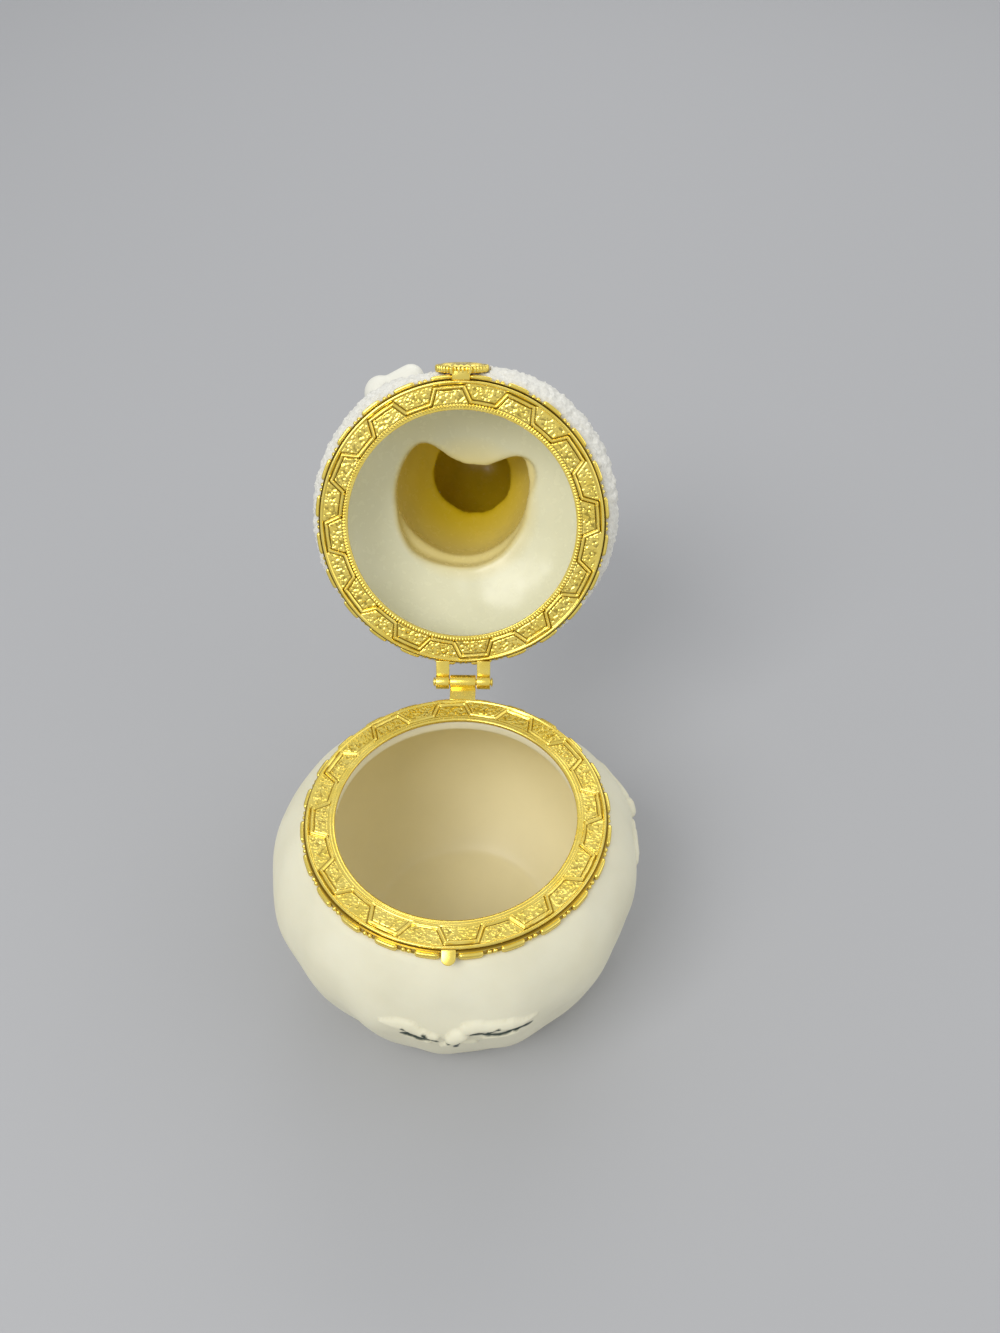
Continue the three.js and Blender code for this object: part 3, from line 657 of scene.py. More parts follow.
def make_ring(name, node, body, turn_deg, teeth, place_it, used):
    """A chased flange with a skirt, set around with bars and pairs of beads."""
    azimuth = circle(RING_COLS)
    radii = np.concatenate(
        [[29.0, 29.12, 29.3], np.arange(29.48, 35.25, 0.165), [35.28, 35.4, 35.6, 35.8, 35.93]]
    )
    face = flange_height(*np.meshgrid(radii, azimuth, indexing="ij"), turn_deg, teeth)
    # radius, height and how bright (painted shade: darker in grooves, low places and under edges), from the
    # mouth over the face and down the skirt
    rows = [(MOUTH_R, -FLANGE_LOW, 0.4), (MOUTH_R, -RAIL_H - 0.4, 0.5)]
    rows += [(r, z, np.clip((z + 0.75) / 0.6, 0, 1)) for r, z in zip(radii, face)]
    rows += [
        (FLANGE_R, -RAIL_H - 0.12, 0.7),
        (FLANGE_R, -FLANGE_LOW + 0.1, 0.35),
        (FLANGE_R - 0.15, -FLANGE_LOW, 0.05),
        (FLANGE_R + 0.3, -FLANGE_LOW, 0.05),
        (SKIRT_R, -FLANGE_LOW - 0.15, 0.4),
        (SKIRT_R, -FLANGE_LOW - 0.35, 0.55),
        (SKIRT_R - 0.1, -FLANGE_LOW - 0.5, 0.15),
        (SKIRT_R - 0.1, -SKIRT_LOW + 0.4, 0.15),
        (SKIRT_R, -SKIRT_LOW + 0.25, 0.5),
        (SKIRT_R, -SKIRT_LOW + 0.1, 0.6),
        (SKIRT_R - 0.1, -SKIRT_LOW, 0.6),
        (SKIRT_R - SKIRT_T, -SKIRT_LOW, 0.5),
        (SKIRT_R - SKIRT_T, -FLANGE_LOW, 0.2),
    ]
    parts = Parts()
    parts.add([polar(r, azimuth, z) for r, z, _ in rows], grid_faces(len(rows), RING_COLS, down=True))
    bright = [np.ravel([b + 0 * azimuth for _, _, b in rows])]

    # a raised bar with rounded edges
    middle = -FLANGE_LOW - SKIRT_H / 2
    u = np.linspace(-BAR_L / 2, BAR_L / 2, 14)
    v = np.array([-0.5, -0.5, -0.42, 0.42, 0.5, 0.5])[:, None] * BAR_H
    out = np.array([-0.45, 0.5, 0.8, 0.8, 0.5, -0.45])[:, None]
    end = np.clip(1 - (np.abs(u) / (BAR_L / 2)) ** 10, 0, 1)
    lift = np.where(out > 0, out * (0.62 + 0.38 * end), out)
    z = middle + v * (0.9 + 0.1 * end)
    bar_faces = grid_faces(len(out), len(u), around=False, down=True)
    ends = np.arange(len(out)) * len(u)
    bar_faces += [ends.tolist(), (ends + len(u) - 1)[::-1].tolist()]
    for k in range(BAR_COUNT):
        at = (k + 0.5) * 2 * math.pi / BAR_COUNT
        parts.add(polar(SKIRT_R + lift, at + u / SKIRT_R, z), bar_faces)
        # painted shade: the bar's top is light and its sides darker
        bright.append(np.repeat(np.where(out > 0.6, 1.0, 0.45), len(u)))
        # a pair of beads in the space beyond it
        for side in (-1, 1):
            theta = at + math.pi / BAR_COUNT + side * 0.66 / SKIRT_R
            points, faces = ball(polar(SKIRT_R, theta, middle), 0.6, 12)
            parts.add(points, faces)
            bright.append(np.full(len(points), 0.9))
    ring = make_object(name, place_it(parts.all_points()), parts.faces, body, [used])
    # the height layer holds this painted shade for the gilt
    set_layer(ring, "height", np.concatenate(bright))
    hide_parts(node)


def on_pot(p):
    return p + (0, 0, POT_H)


def on_lid(p):
    return swing(p * (1, 1, -1) + (0, 0, SHUT))


make_ring("pot_ring", "pot_rim", "pot", 4.5, False, on_pot, BRIGHT_GILT)
make_ring("lid_ring", "lid_rim", "lid", -4.8, True, on_lid, DARK_GILT)


# Lid


def share(x, y, z):
    return np.array([x, y, z]) * FIGURE_H


def place(x, y, z):
    return share(x, y, z) + (0, 0, DOME_TOP_H)


# Round forms: centre and radii. Hoops: centre, radius, tube and lean.
TORSO = (place(-0.02, -0.115, 0.056), share(0.436, 0.444, 0.361))
HEAD = (place(0.041, -0.141, 0.478), share(0.357, 0.354, 0.349))
CAP = (place(0.041, -0.121, 0.568), share(0.37, 0.365, 0.326))
BOBBLE = (place(0.041, -0.06, 0.915), share(0.085, 0.085, 0.085))
BRIM = (place(0.041, -0.121, 0.602), 0.345 * FIGURE_H, 0.049 * FIGURE_H, math.radians(-5))
SCARF_RING = (place(0.02, -0.147, 0.314), 0.309 * FIGURE_H, 0.066 * FIGURE_H, math.radians(5))
# Snow heaped behind and beside the snowman
HEAP = (np.array([-3.0, 1.5, 24.0]), np.array([21.5, 19.5, 8.5]))
# Shoulder, elbow and wrist
ARMS = [
    [(-0.262, -0.262, 0.037), (-0.341, -0.392, 0.096), (-0.432, -0.522, 0.176)],
    [(0.282, -0.221, 0.016), (0.371, -0.341, 0.087), (0.412, -0.462, 0.157)],
]
ARM_R = 0.149 * FIGURE_H
ELBOW_R = 0.11 * FIGURE_H
WRIST_R = 0.085 * FIGURE_H
CUFF_R = 0.108 * FIGURE_H
THUMB_R = 0.074 * FIGURE_H
# Palm and tip of the thumb
HANDS = [
    [(-0.484, -0.592, 0.207), (-0.318, -0.678, 0.237)],
    [(0.401, -0.533, 0.197), (0.301, -0.562, 0.258)],
]
PALM = share(0.094, 0.1, 0.113)
NOSE = (place(0.041, -0.47, 0.467), place(0.056, -0.673, 0.438))


def frame_along(direction):
    """Two directions across the given one, and that one, each of length 1."""
    d = np.asarray(direction, float)
    d = d / np.linalg.norm(d)
    side = np.cross(d, (0, 0, 1.0) if abs(d[2]) < 0.9 else (1.0, 0, 0))
    side /= np.linalg.norm(side)
    return side, np.cross(d, side), d


def rings_along(start, direction, profile, around):
    """Rings of points about a line, from (radius, distance) pairs."""
    side, up, d = frame_along(direction)
    lon = circle(around)
    return np.array(
        [start + np.outer(np.cos(lon) * r, side) + np.outer(np.sin(lon) * r, up) + d * t for r, t in profile]
    )


def limb(start, end, r_start, r_end, around=20):
    """A round-ended limb, as a closed shape."""
    length = np.linalg.norm(end - start)
    d = (end - start) / length
    bend = np.linspace(0, math.pi / 2, 6)[:-1]
    profile = [(r_start * math.cos(t), -r_start * math.sin(t)) for t in bend[::-1]]
    profile += [(r_start + (r_end - r_start) * t, length * t) for t in np.linspace(0, 1, 8)[1:-1]]
    profile += [(r_end * math.cos(t), length + r_end * math.sin(t)) for t in bend]
    return capped(rings_along(start, d, profile, around), start - d * r_start, end + d * r_end)


def hoop(centre, r, tube, lean, around=72, ribs=0):
    a, b = np.meshgrid(circle(around), circle(20), indexing="ij")
    thick = tube * (1 + (0.06 * np.cos(ribs * a) if ribs else 0))
    far = r + thick * np.cos(b)
    grid = turn(np.stack([far * np.cos(a), far * np.sin(a), thick * np.sin(b)], -1), lean) + centre
    points = grid.reshape(-1, 3)
    return points, facing_out(points, grid_faces(around, 20, down=True))


def crown(inset, rib_depth=0.0, rows=20, around=64):
    """The part of the cap above the brim, with knitted ribs."""
    centre, radii = CAP[0], CAP[1] - inset
    lon = circle(around)
    middle = BRIM[0][2] - centre[2]
    start = np.arcsin((middle + radii[1] * np.sin(lon) * math.tan(BRIM[3])) / radii[2])
    t = np.linspace(0, 1, rows)[:-1, None]
    a = start * (1 - t) + math.pi / 2 * t
    grid = np.stack([np.cos(a) * np.cos(lon), np.cos(a) * np.sin(lon), np.sin(a)], -1)
    grid = grid * (radii + rib_depth * (np.cos(24 * lon) * np.cos(a))[..., None]) + centre
    return capped(grid, centre + (0, 0, middle - 1), centre + (0, 0, radii[2]))


def applied(thing, kind, **settings):
    """Gives the object the mesh that one modifier makes of it."""
    modifier = thing.modifiers.new(kind, kind)
    for key, value in settings.items():
        setattr(modifier, key, value)
    graph = bpy.context.evaluated_depsgraph_get()
    mesh = bpy.data.meshes.new_from_object(thing.evaluated_get(graph))
    thing.modifiers.clear()
    old = thing.data
    thing.data = mesh
    bpy.data.meshes.remove(old)


def mend(thing):
    """Clears the slivers that a cut leaves."""
    work = bmesh.new()
    work.from_mesh(thing.data)
    bmesh.ops.remove_doubles(work, verts=work.verts, dist=0.03)
    bmesh.ops.dissolve_degenerate(work, edges=work.edges, dist=0.01)
    loose = [f for f in work.faces if sum(e.is_boundary for e in f.edges) > 1]
    bmesh.ops.delete(work, geom=loose, context="FACES")
    bmesh.ops.triangulate(work, faces=[f for f in work.faces if len(f.verts) > 4])
    work.to_mesh(thing.data)
    work.free()
    thing.data.update()


def drop(thing):
    mesh = thing.data
    bpy.data.objects.remove(thing)
    bpy.data.meshes.remove(mesh)


def vectors(thing, name):
    """A value of three numbers for each point of the object's mesh."""
    vertices = thing.data.vertices
    values = np.zeros(len(vertices) * 3)
    vertices.foreach_get(name, values)
    return values.reshape(-1, 3)


def taken(thing):
    """The points and faces of an object that is no longer needed."""
    points, faces = vectors(thing, "co"), [list(f.vertices) for f in thing.data.polygons]
    drop(thing)
    return points, faces


def outside_distance(p, centre, radii):
    return (np.linalg.norm((p - centre) / radii, axis=-1) - 1) * np.min(radii)


def limb_distance(p, a, b, r):
    ab = b - a
    t = np.clip(((p - a) @ ab) / (ab @ ab), 0, 1)
    return np.linalg.norm(p - a - t[:, None] * ab, axis=1) - r


def hoop_distance(p, centre, r, tube, lean):
    x, y, z = turn(p - centre, -lean).T
    return np.hypot(np.hypot(x, y) - r, z) - tube


def dome_profile():
    low = SKIRT_LOW + GAP
    fall = rise_through(DOME_R, SHOULDER_R, DOME_WIDE_H - low)
    start = [(0, FLANGE_LOW + GAP), (NECK_OUT_R, FLANGE_LOW + GAP), (NECK_OUT_R, low)]
    lower = arc(DOME_R, DOME_WIDE_H, -fall, SHOULDER_R, DOME_R, 6)[:-1]
    upper = arc(DOME_R, DOME_WIDE_H, DOME_TOP_H - DOME_WIDE_H, DOME_R, 0, 24)
    return np.concatenate([start, lower, upper])


def uneven_dome(p):
    """The dome is fuller towards its front right, and flatter in front and behind."""
    azimuth = np.arctan2(p[..., 0], -p[..., 1])
    out = 0.9 * np.cos(azimuth - math.radians(55)) - 2.3 * hump(wrap(azimuth + 0.1) / 0.33)
    out = out - 1.7 * hump(wrap(azimuth - 2.4) / 0.75) - 0.6 * hump(wrap(azimuth + 2.4) / 0.6)
    share_of_r = np.hypot(p[..., 0], p[..., 1]) / DOME_R
    out = out * np.clip((p[..., 2] - SKIRT_LOW - GAP) / 4, 0, 1) * np.clip(share_of_r, 0, 1)
    return p + np.stack([np.sin(azimuth) * out, -np.cos(azimuth) * out, 0 * out], -1)


def lid_outside():
    """Dome and snowman grown together, still without their hollow."""
    parts = Parts()
    parts.add(*turned(dome_profile(), 120, uneven_dome))
    for form in (TORSO, HEAP, HEAD):
        parts.add(*ball(*form, around=64))
    parts.add(*crown(0.3))
    parts.add(*ball(BOBBLE[0], BOBBLE[1] - 0.4, 24))
    for centre, r, tube, lean in (BRIM, SCARF_RING):
        parts.add(*hoop(centre, r, tube - 0.3, lean))
    for (shoulder, elbow, wrist), (palm, thumb) in zip(ARMS, HANDS):
        parts.add(*limb(place(*shoulder), place(*elbow), ARM_R, ELBOW_R))
        parts.add(*limb(place(*elbow), place(*wrist), ELBOW_R, WRIST_R))
        parts.add(*ball(place(*palm), PALM, 32))
        parts.add(*limb(place(*palm), place(*thumb), THUMB_R, THUMB_R))
        parts.add(*ball(place(*[(a + 2 * b) / 3 for a, b in zip(elbow, wrist)]), CUFF_R, 28))
    outside = as_object(parts.all_points(), parts.faces)
    applied(outside, "REMESH", mode="VOXEL", voxel_size=0.62)
    applied(outside, "SMOOTH", iterations=2, factor=0.5)
    return outside


# Where the hollow of the dome opens into the snowman: azimuth and radius of its edge
THROAT = [
    (-127, 19.5),
    (-90, 19.2),
    (-58, 21.6),
    (-40, 22.6),
    (-31, 22.3),
    (-17.5, 14.6),
    (0, 12.2),
    (28, 13.0),
    (44, 20.8),
    (53.5, 22.4),
    (63.4, 21.7),
    (79, 17.8),
    (120, 16.0),
    (135, 16.0),
    (165, 16.3),
    (196, 16.6),
]


def keep_within(p, forms):
    """Points of one level drawn in until each lies within one of the forms."""
    kept, least = p, np.full(len(p), 1e9)
    for centre, radii in forms:
        limit = 1 - ((p[0, 2] - centre[2]) / radii[2]) ** 2
        if limit < 0.05:
            continue
        q = p[:, :2] - centre[:2]
        k = np.maximum(1, np.linalg.norm(q / (radii[:2] * math.sqrt(limit)), axis=1))[:, None]
        moved = np.concatenate([centre[:2] + q / k, p[:, 2:]], 1)
        far = np.linalg.norm(moved - p, axis=1)
        kept = np.where((far < least)[:, None], moved, kept)
        least = np.minimum(far, least)
    return kept


def lid_hollow():
    """The hollow inside the lid, as one closed shape."""
    wide = DOME_R - DOME_RIM_WALL
    fall = rise_through(wide, NECK_IN_R, DOME_WIDE_H - NECK_DEPTH)
    lower = arc(wide, DOME_WIDE_H, -fall, NECK_IN_R, wide, 8)[:-1]
    upper = arc(wide, DOME_WIDE_H, DOME_TOP_H - FIGURE_WALL - DOME_WIDE_H, wide, 0, 24)
    parts = Parts()
    parts.add(*turned(np.concatenate([[(0, 0), (NECK_IN_R, 0)], lower, upper]), 96))
    # the throat, with a bay towards each arm and a dip in front
    azimuth = circle(120)
    at, far = zip(*THROAT)
    reach = np.interp(np.degrees(azimuth), at, far, period=360)
    for _ in range(3):
        reach = (np.roll(reach, 1) + 2 * reach + np.roll(reach, -1)) / 4
    torso_in = TORSO[1] - FIGURE_WALL
    rows = [
        polar(reach * k, azimuth, z)
        for z, k in ((10, 1.0), (16, 1.0), (20, 1.0), (22, 1.0), (23.4, 0.99), (24.4, 0.97))
    ]
    for z in np.linspace(25.4, TORSO[0][2], 8):
        ring = polar(reach * 0.97, azimuth, z)
        rows.append(keep_within(ring, [(TORSO[0], torso_in), (HEAP[0], HEAP[1] - 2)]))
    parts.add(*capped(np.array(rows), (0, 0, 10), (0, -5, TORSO[0][2])))
    # the torso above the throat's ledge, and the head
    points, faces = ball((0, 0, 0), 1.0, 64)
    high = np.where(points[:, 2] < 0, TORSO[0][2] - DOME_TOP_H, torso_in[2])
    points = points * np.stack([0 * high + torso_in[0], 0 * high + torso_in[1], high], 1) + TORSO[0]
    parts.add(points, faces)
    parts.add(*ball((HEAD[0] + CAP[0]) / 2, HEAD[1] - FIGURE_WALL, 56))
    hollow = as_object(parts.all_points(), parts.faces)
    applied(hollow, "REMESH", mode="VOXEL", voxel_size=0.7)
    applied(hollow, "SMOOTH", iterations=8, factor=0.5)
    return hollow


def carve_lid():
    """The lid with its hollow and its snow. Returns the hollow, grown a little into the wall."""
    outside, hollow = lid_outside(), lid_hollow()
    # the seat in the snow behind the medallion
    seat_r = MEDALLION_R + 0.6
    points, faces = turned([(0, 0), (seat_r, 0), (seat_r, 12), (0, 12)], 64)
    seat = as_object(turn(points, math.pi / 2) + (0, -BAR_R, MEDALLION_LOW + MEDALLION_R), faces)
    for cutter in (seat, hollow):
        applied(outside, "BOOLEAN", object=cutter, operation="DIFFERENCE", solver="MANIFOLD")
    mend(outside)
    drop(seat)
    inside = vectors(hollow, "co")
    grown = inside + vectors(hollow, "normal") * 1.1
    hollow.data.vertices.foreach_set("co", grown.ravel())
    hollow.data.update()
    normals = vectors(outside, "normal")
    p, faces = taken(outside)

    # which form each point belongs to
    tree = KDTree(len(inside))
    for i, q in enumerate(inside):
        tree.insert(q, i)
    tree.balance()
    near_hollow = np.array([tree.find(q)[2] for q in p]) < 0.75
    flat_in = (p[:, 0] * normals[:, 0] + p[:, 1] * normals[:, 1]) < 0
    faces_in = np.where(p[:, 2] < 7, flat_in, ((p - (0, -4, 22)) * normals).sum(1) < 0)
    inner = near_hollow & faces_in
    neck = (p[:, 2] < SKIRT_LOW + GAP + 0.35) & ~inner
    hands = np.full(len(p), 9.0)
    for palm, thumb in HANDS:
        a, b = place(*palm), place(*thumb)
        hands = np.minimum(hands, outside_distance(p, a, PALM))
        hands = np.minimum(hands, limb_distance(p, a, b, THUMB_R))
    mitten = hands < 0.8
    dressed = np.minimum(hoop_distance(p, *BRIM), hoop_distance(p, *SCARF_RING))
    capped_part = np.where(p[:, 2] > CAP[0][2] - 0.5, outside_distance(p, *CAP), 9)
    dressed = np.minimum(dressed, np.minimum(capped_part, outside_distance(p, *BOBBLE)))
    snowy = ~inner & ~neck & ~mitten & (dressed > 0.2)
    grit = 0.75 * grains(p, 1.3) + 0.4 * grains(p + 31, 2.4) + 0.2 * noise(p, 6) - 0.3
    uneven = (0.4 * noise(p, 15) + 0.12 * noise(p, 5)) * inner * smooth(p[:, 2], 7, 12)
    moved = p + normals * (grit * snowy + uneven)[:, None]
    kinds = np.where(inner, 1, np.where(mitten, 2, 0))
    indices = [sorted(kinds[f])[len(f) // 2] for f in faces]
    used = [SNOW, LID_INSIDE, MITTEN]
    placed = swing(moved + (0, 0, SHUT))
    lid = make_object("lid_porcelain", placed, faces, "lid", used, indices)
    # depth for the inside's painted shade: the higher inside the snowman, the darker
    set_layer(lid, "depth", np.clip(p[:, 2] / 60, 0, 1))
    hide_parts("lid")
    return hollow


def scarf_strip():
    """The scarf's hanging end, upright about its middle: a thin ribbed slab."""
    wide, thick, tall = share(0.15, 0.072, 0.298) / 2
    n, m = 15, 25
    u, v = np.meshgrid(np.linspace(-1, 1, n), np.linspace(-1, 1, m), indexing="ij")
    out = thick * np.sqrt(np.clip(1 - 0.9 * u**4, 0.05, 1) * np.clip(1 - 0.85 * v**12, 0.05, 1))
    rib = 0.12 * np.cos(u * 3.5 * math.pi)
    front = np.stack([u * wide, -out - rib, v * tall], -1)
    back = np.stack([u * wide, out, v * tall], -1)
    faces = grid_faces(n, m, around=False)
    faces += [[k + n * m for k in f[::-1]] for f in faces]
    border = [(0, j) for j in range(m)] + [(i, m - 1) for i in range(1, n)]
    border += [(n - 1, j) for j in range(m - 2, -1, -1)] + [(i, 0) for i in range(n - 2, 0, -1)]
    border = [i * m + j for i, j in border]
    faces += [[a, a + n * m, b + n * m, b] for a, b in zip(border, border[1:] + border[:1])]
    return np.concatenate([front.reshape(-1, 3), back.reshape(-1, 3)]), faces


def carrot():
    ahead = NOSE[1] - NOSE[0]
    length = np.linalg.norm(ahead)
    t = np.linspace(0, 1, 22)
    radii = 0.055 * FIGURE_H * (1 - t) ** 0.75 * (1 + 0.07 * np.sin(t * 26)) + 0.05
    rings = rings_along(NOSE[0], ahead, zip(radii, length * t - 0.3), 24)
    return capped(rings, NOSE[0] - ahead / length * 0.4, NOSE[1] + ahead / length * 0.02)


def coal():
    """Eyes, mouth and buttons, half sunk in the snow."""
    spots = [(HEAD, side, 9, (1.25, 1.0, 1.35), 24) for side in (-19, 19)]
    mouth = ((-24, -7), (-15, -11.5), (-5.5, -14), (5.5, -14), (15, -11.5), (24, -7))
    spots += [(HEAD, azimuth, high, 0.72, 20) for azimuth, high in mouth]
    spots += [(TORSO, 8, high, (1.3, 1.0, 1.3), 24) for high in (30, 12, -6)]
    parts = Parts()
    for form, azimuth, high, radii, around in spots:
        a, h = math.radians(azimuth), math.radians(high)
        parts.add(*ball(form[0] + polar(math.cos(h), a, math.sin(h)) * form[1], radii, around))
    points = parts.all_points()
    return points + 0.12 * noise(points, 0.9)[:, None], parts.faces


def dress(hollow):
    """The painted and modelled details of the snowman, each cast on to the lid."""

    def piece(name, points, faces, used, cut=False):
        if cut:
            work = as_object(points, faces)
            applied(work, "BOOLEAN", object=hollow, operation="DIFFERENCE", solver="MANIFOLD")
            mend(work)
            points, faces = taken(work)
        make_object(name, swing(points + (0, 0, SHUT)), faces, "lid", [used])

    piece("cap", *crown(-0.15, 0.5, 30, 192), SCARF, cut=True)
    piece("cap_brim", *hoop(*BRIM, around=192, ribs=48), MITTEN, cut=True)
    points, faces = ball(BOBBLE[0], BOBBLE[1], 40)
    out = points - BOBBLE[0]
    out = out / np.linalg.norm(out, axis=1, keepdims=True)
    piece("cap_bobble", points + out * (0.5 * grains(points, 1.1) - 0.25)[:, None], faces, MITTEN)
    piece("scarf", *hoop(*SCARF_RING, around=160, ribs=40), SCARF, cut=True)
    points, faces = scarf_strip()
    points = turn(turn(points, math.radians(-14)), math.radians(10), 2, 0)
    piece("scarf_end", points + place(-0.141, -0.525, 0.17), faces, SCARF)
    piece("carrot_nose", *carrot(), CARROT)
    piece("coal", *coal(), COAL)


grown_hollow = carve_lid()
dress(grown_hollow)
drop(grown_hollow)


# Hinge and clasp


def extruded(outline, low, high, bevel=0.18):
    """A plate from low to high along X, its outline given as Y and Z, its long edges rounded."""
    n = len(outline)
    points = np.concatenate([np.column_stack([np.full(n, x), outline]) for x in (low, high)])
    faces = [list(range(n))[::-1], list(range(n, 2 * n))]
    faces += [[i, (i + 1) % n, n + (i + 1) % n, n + i] for i in range(n)]
    plate = as_object(points, faces)
    applied(plate, "BEVEL", width=bevel, segments=3, limit_method="ANGLE", angle_limit=math.radians(40))
    return taken(plate)


def metal(name, node, body, points, faces, used, crease=35):
    """A metal piece that replaces a node, with edges kept sharp where faces meet at more than crease."""
    thing = make_object(name, points, faces, body, [used])
    mesh = thing.data
    normals = {}
    for f in mesh.polygons:
        for key in f.edge_keys:
            normals.setdefault(key, []).append(f.normal)
    limit = math.cos(math.radians(crease))
    meeting = [normals.get(e.key, ()) for e in mesh.edges]
    sharp = mesh.attributes.get("sharp_edge") or mesh.attributes.new("sharp_edge", "BOOLEAN", "EDGE")
    sharp.data.foreach_set("value", [len(n) == 2 and n[0].dot(n[1]) < limit for n in meeting])
    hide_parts(node)
    return thing


def knuckle_outline(side):
    """Barrel and leaf seen from the end, about the pin, with the leaf above it or below."""
    front = -(HINGE_Y - FLANGE_R + 0.1)
    end = math.pi - side * math.asin((BARREL_R - LEAF_T) / BARREL_R)
    if side > 0:
        end -= 2 * math.pi
    angles = np.linspace(math.pi / 2 * side, end, 40)
    barrel = [(BARREL_R * math.cos(a), BARREL_R * math.sin(a)) for a in angles]
    return np.array([(front, side * BARREL_R)] + barrel + [(front, side * (BARREL_R - LEAF_T))])


def make_knuckle(name, node, body, low, high, side):
    points, faces = extruded(knuckle_outline(side)[::-side], low, high)
    points = points + (0, HINGE_Y, HINGE_Z)
    points = swing(points) if body == "lid" else points
    metal(name, node, body, points, faces, POLISHED_GILT)


ARM_IN = LEAF_W / 2 + GAP
ARM_OUT = ARM_IN + ARM_W
make_knuckle("pot_knuckle", "pot_hinge_leaf", "pot", -LEAF_W / 2, LEAF_W / 2, -1)
make_knuckle("lid_knuckle_left", "lid_hinge_knuckle_left", "lid", -ARM_OUT, -ARM_IN, 1)
make_knuckle("lid_knuckle_right", "lid_hinge_knuckle_right", "lid", ARM_IN, ARM_OUT, 1)


def make_pin():
    end = ARM_OUT + GAP
    round_edge = 0.38
    parts = Parts()
    bend = np.linspace(0, math.pi / 2, 7)[:-1]
    dome = [
        (PIN_HEAD_R * math.cos(a), end + PIN_HEAD_T - round_edge + round_edge * math.sin(a)) for a in bend
    ]
    for sign in (-1, 1):
        p, faces = turned([(0, end), (PIN_HEAD_R, end)] + dome + [(0, end + PIN_HEAD_T)], 28)
        parts.add(p[:, ::-1] * (sign, sign, 1), faces)
    p, faces = turned([(0, -end - 0.1), (PIN_R, -end - 0.1), (PIN_R, end + 0.1), (0, end + 0.1)], 24)
    parts.add(p[:, ::-1], faces)
    points = parts.all_points() + (0, HINGE_Y, HINGE_Z)
    metal("pin", "hinge_pin", "pot", points, parts.faces, POLISHED_GILT)


def make_tab():
    half, root = TAB_W / 2, 1.2
    bend = np.linspace(math.pi, 2 * math.pi, 20)
    tip = [(half * math.cos(a), -TAB_REACH + half + half * math.sin(a)) for a in bend]
    p, faces = extruded([(-half, root)] + tip + [(half, root)], -TAB_T, 0, bevel=0.2)
    p = turn(np.roll(p, -1, axis=1), TAB_SLOPE) + (0, -BAR_R - GAP, POT_H - RAIL_H)
    metal("latch_tab", "pot_latch_tab", "pot", p, faces, POLISHED_GILT)


def make_medallion():
    angle = circle(320)
    between = 1 - np.abs(np.sin(angle * 20)) ** 0.6  # 1 in the notches of its edge
    top = MEDALLION_T + MEDALLION_CROWN
    rows = [(0.001, 0.0), (3.0, 0.0), (5.6, 0.0), (6.35, 0.0), (6.62, 0.12), (6.7, 0.4), (6.7, 0.85)]
    rows += [(6.7, 1.3), (6.55, 1.6), (6.3, 1.7), (6.0, 1.55), (5.6, 1.42), (5.45, 1.5), (5.3, 1.68)]
    rows += [
        (r, MEDALLION_T + MEDALLION_CROWN * math.sqrt(max(0, 1 - (r / 5.4) ** 2)))
        for r in (5.0, 4.4, 3.7, 3.0, 2.3)
    ]
    rows += [(1.9, 2.0), (1.65, 2.12), (1.2, top), (0.6, top)]
    grid, bright = [], []
    for r, z in rows:
        lift = 0 * angle
        if 2.2 < r < 5.2 and z > 1:
            lift = -0.22 * (1 - np.abs(np.cos(angle * 10))) * smooth(r, 2.0, 3.6)
        if r > 5.7 and z > 1.2:
            lift = lift - 0.2 * between
        grid.append(polar(r * (1 - smooth(r, 5.5, 6.4) * 0.055 * between), angle + math.pi / 2, z + lift))
        # painted shade: darker in the crown's flutes and the edge's notches
        bright.append(np.clip(0.75 + lift * 2.2 - (0.35 * between if r > 6.2 else 0), 0, 1))
    points, faces = capped(np.array(grid), (0, 0, 0), (0, 0, top))
    back = BAR_R + GAP
    front = -back - MEDALLION_T
    points = turn(points, math.pi / 2) + (0, -back, MEDALLION_LOW + MEDALLION_R)
    parts = Parts()
    parts.add(points, faces)
    # the two prongs that pass either side of the tab, and the lug that joins it to the ring
    low, high = -1.1, MEDALLION_LOW + 3.0
    prong = [(front, low + 0.4), (front + 0.4, low), (-back, low), (-back, high), (front, high)]
    lug = [(-FLANGE_R, 0.3), (-FLANGE_R, 2.6), (-back - 0.6, 3.2), (-back - 0.6, 0.3)]
    for sign in (-1, 1):
        x = sign * (TAB_W / 2 + GAP + PRONG_W / 2)
        parts.add(*extruded(prong, x - PRONG_W / 2, x + PRONG_W / 2, bevel=0.12))
    parts.add(*extruded(lug, -2.2, 2.2, bevel=0.25))
    bright = np.concatenate([np.ravel(bright), [0.8, 0.8], np.full(parts.count - len(points), 0.85)])
    placed = swing(parts.all_points() + (0, 0, SHUT))
    medallion = metal(
        "medallion", "clasp_medallion", "lid", placed, parts.faces, DARK_GILT, crease=50
    )
    set_layer(medallion, "height", bright)


make_pin()
make_tab()
make_medallion()


# Stage

FLOOR_HALF = 3.0


def orient(thing, side, up, back, at):
    """Places a light or camera, which looks away from its back direction."""
    columns = [(*column, 0) for column in (side, up, back)] + [(*at, 1)]
    thing.matrix_world = Matrix(columns).transposed()


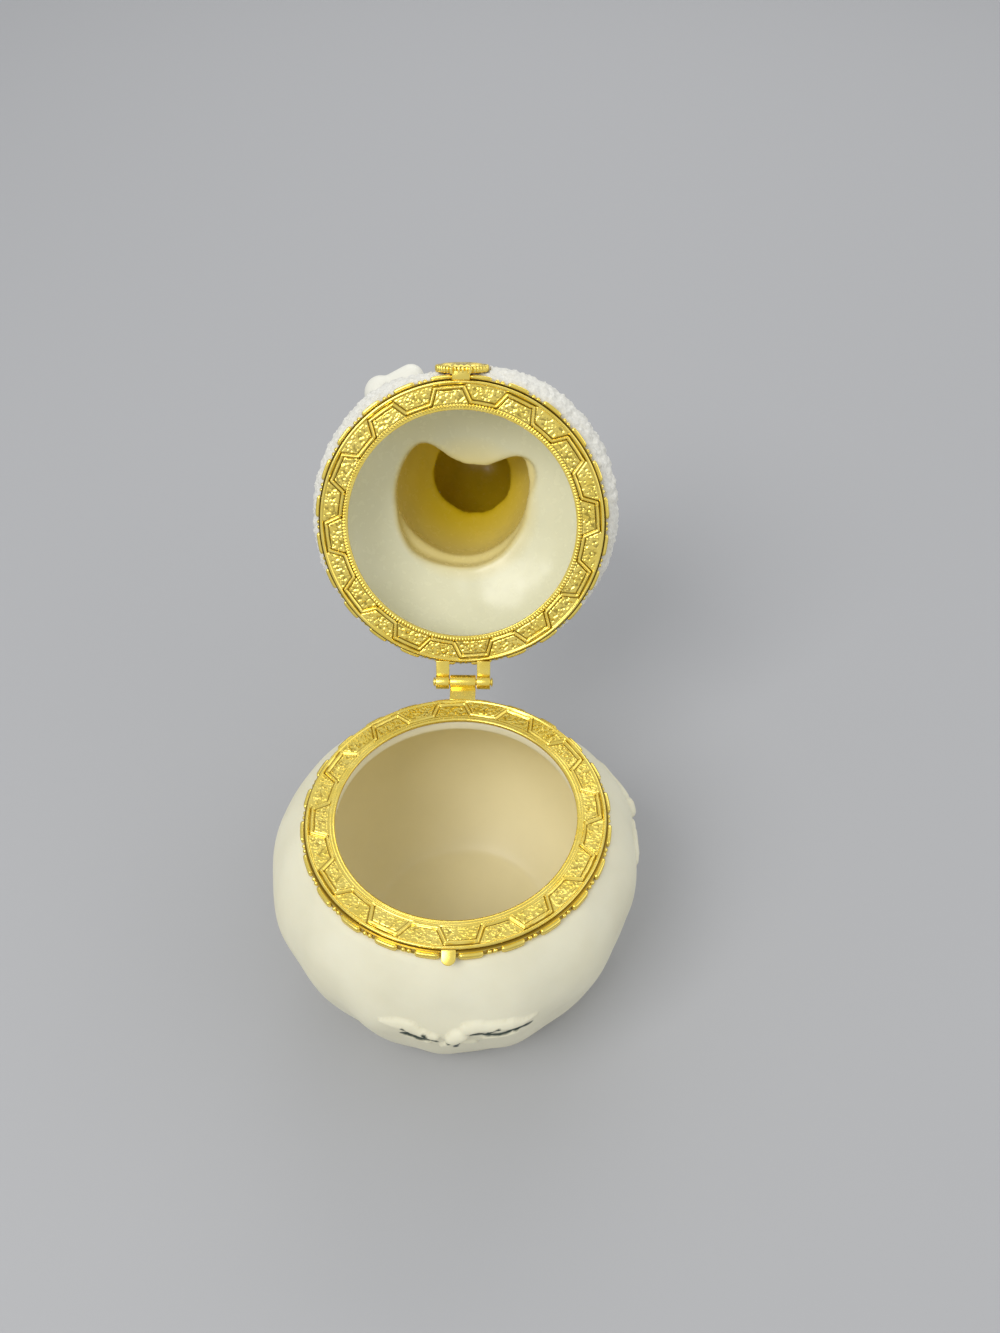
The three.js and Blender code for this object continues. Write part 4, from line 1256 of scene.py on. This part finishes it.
def make_floor():
    look = Look("pale_floor", 0.7)
    look.sockets["Base Color"].default_value = (0.4, 0.4, 0.405, 1)
    corners = [(x * FLOOR_HALF, y * FLOOR_HALF, 0) for x, y in ((-1, -1), (1, -1), (1, 1), (-1, 1))]
    floor = as_object(corners, [[0, 1, 2, 3]], "floor")
    floor.data.materials.append(look.made)


def make_light(name, at, target, size, power):
    data = bpy.data.lights.new(name, "AREA")
    data.shape = "RECTANGLE"
    data.size, data.size_y = size
    data.energy = power
    orient(linked(name, data), *frame_along(np.subtract(at, target)), at)


def make_camera():
    """Where the photograph was taken from, worked out from the outlines of both rings."""
    azimuth, elevation, roll = (math.radians(v) for v in (5.38, 54.56, -3.73))
    aim_x, aim_y = math.radians(2.27), math.radians(7.52)
    distance, focal_pixels, high_pixels = 0.2657, 1100, 1333
    back = polar(math.cos(elevation), azimuth, math.sin(elevation))
    right = np.cross([0, 0, 1], back)
    right /= np.linalg.norm(right)
    up = np.cross(back, right)
    at = back * distance + (0, 0, POT_H * MM)

    def turn_both(a, b, angle):
        c, s = math.cos(angle), math.sin(angle)
        return c * a + s * b, c * b - s * a

    right, up = turn_both(right, up, roll)
    right, back = turn_both(right, back, aim_x)
    up, back = turn_both(up, back, aim_y)
    data = bpy.data.cameras.new("camera")
    data.sensor_fit = "VERTICAL"
    data.sensor_height = 36
    data.lens = data.sensor_height * focal_pixels / high_pixels
    data.clip_start = 0.005
    data.clip_end = 20
    camera = linked("camera", data)
    orient(camera, right, up, back, at)
    bpy.context.scene.camera = camera


make_floor()
make_camera()
make_light("key", (-0.4, -0.45, 0.8), (0, 0.03, 0.06), (0.5, 0.5), 4.6)
make_light("fill", (0.8, -0.1, 0.5), (0, 0.03, 0.06), (0.8, 0.6), 1.2)
make_light("back", (0.1, 0.9, 0.7), (0, 0.05, 0.06), (0.9, 0.5), 2.2)
world = bpy.data.worlds.new("room")
world.use_nodes = True
room = world.node_tree.nodes["Background"].inputs
room["Color"].default_value = (0.9, 0.92, 0.95, 1)
room["Strength"].default_value = 0.72
bpy.context.scene.world = world
bpy.context.scene.view_settings.view_transform = "Standard"
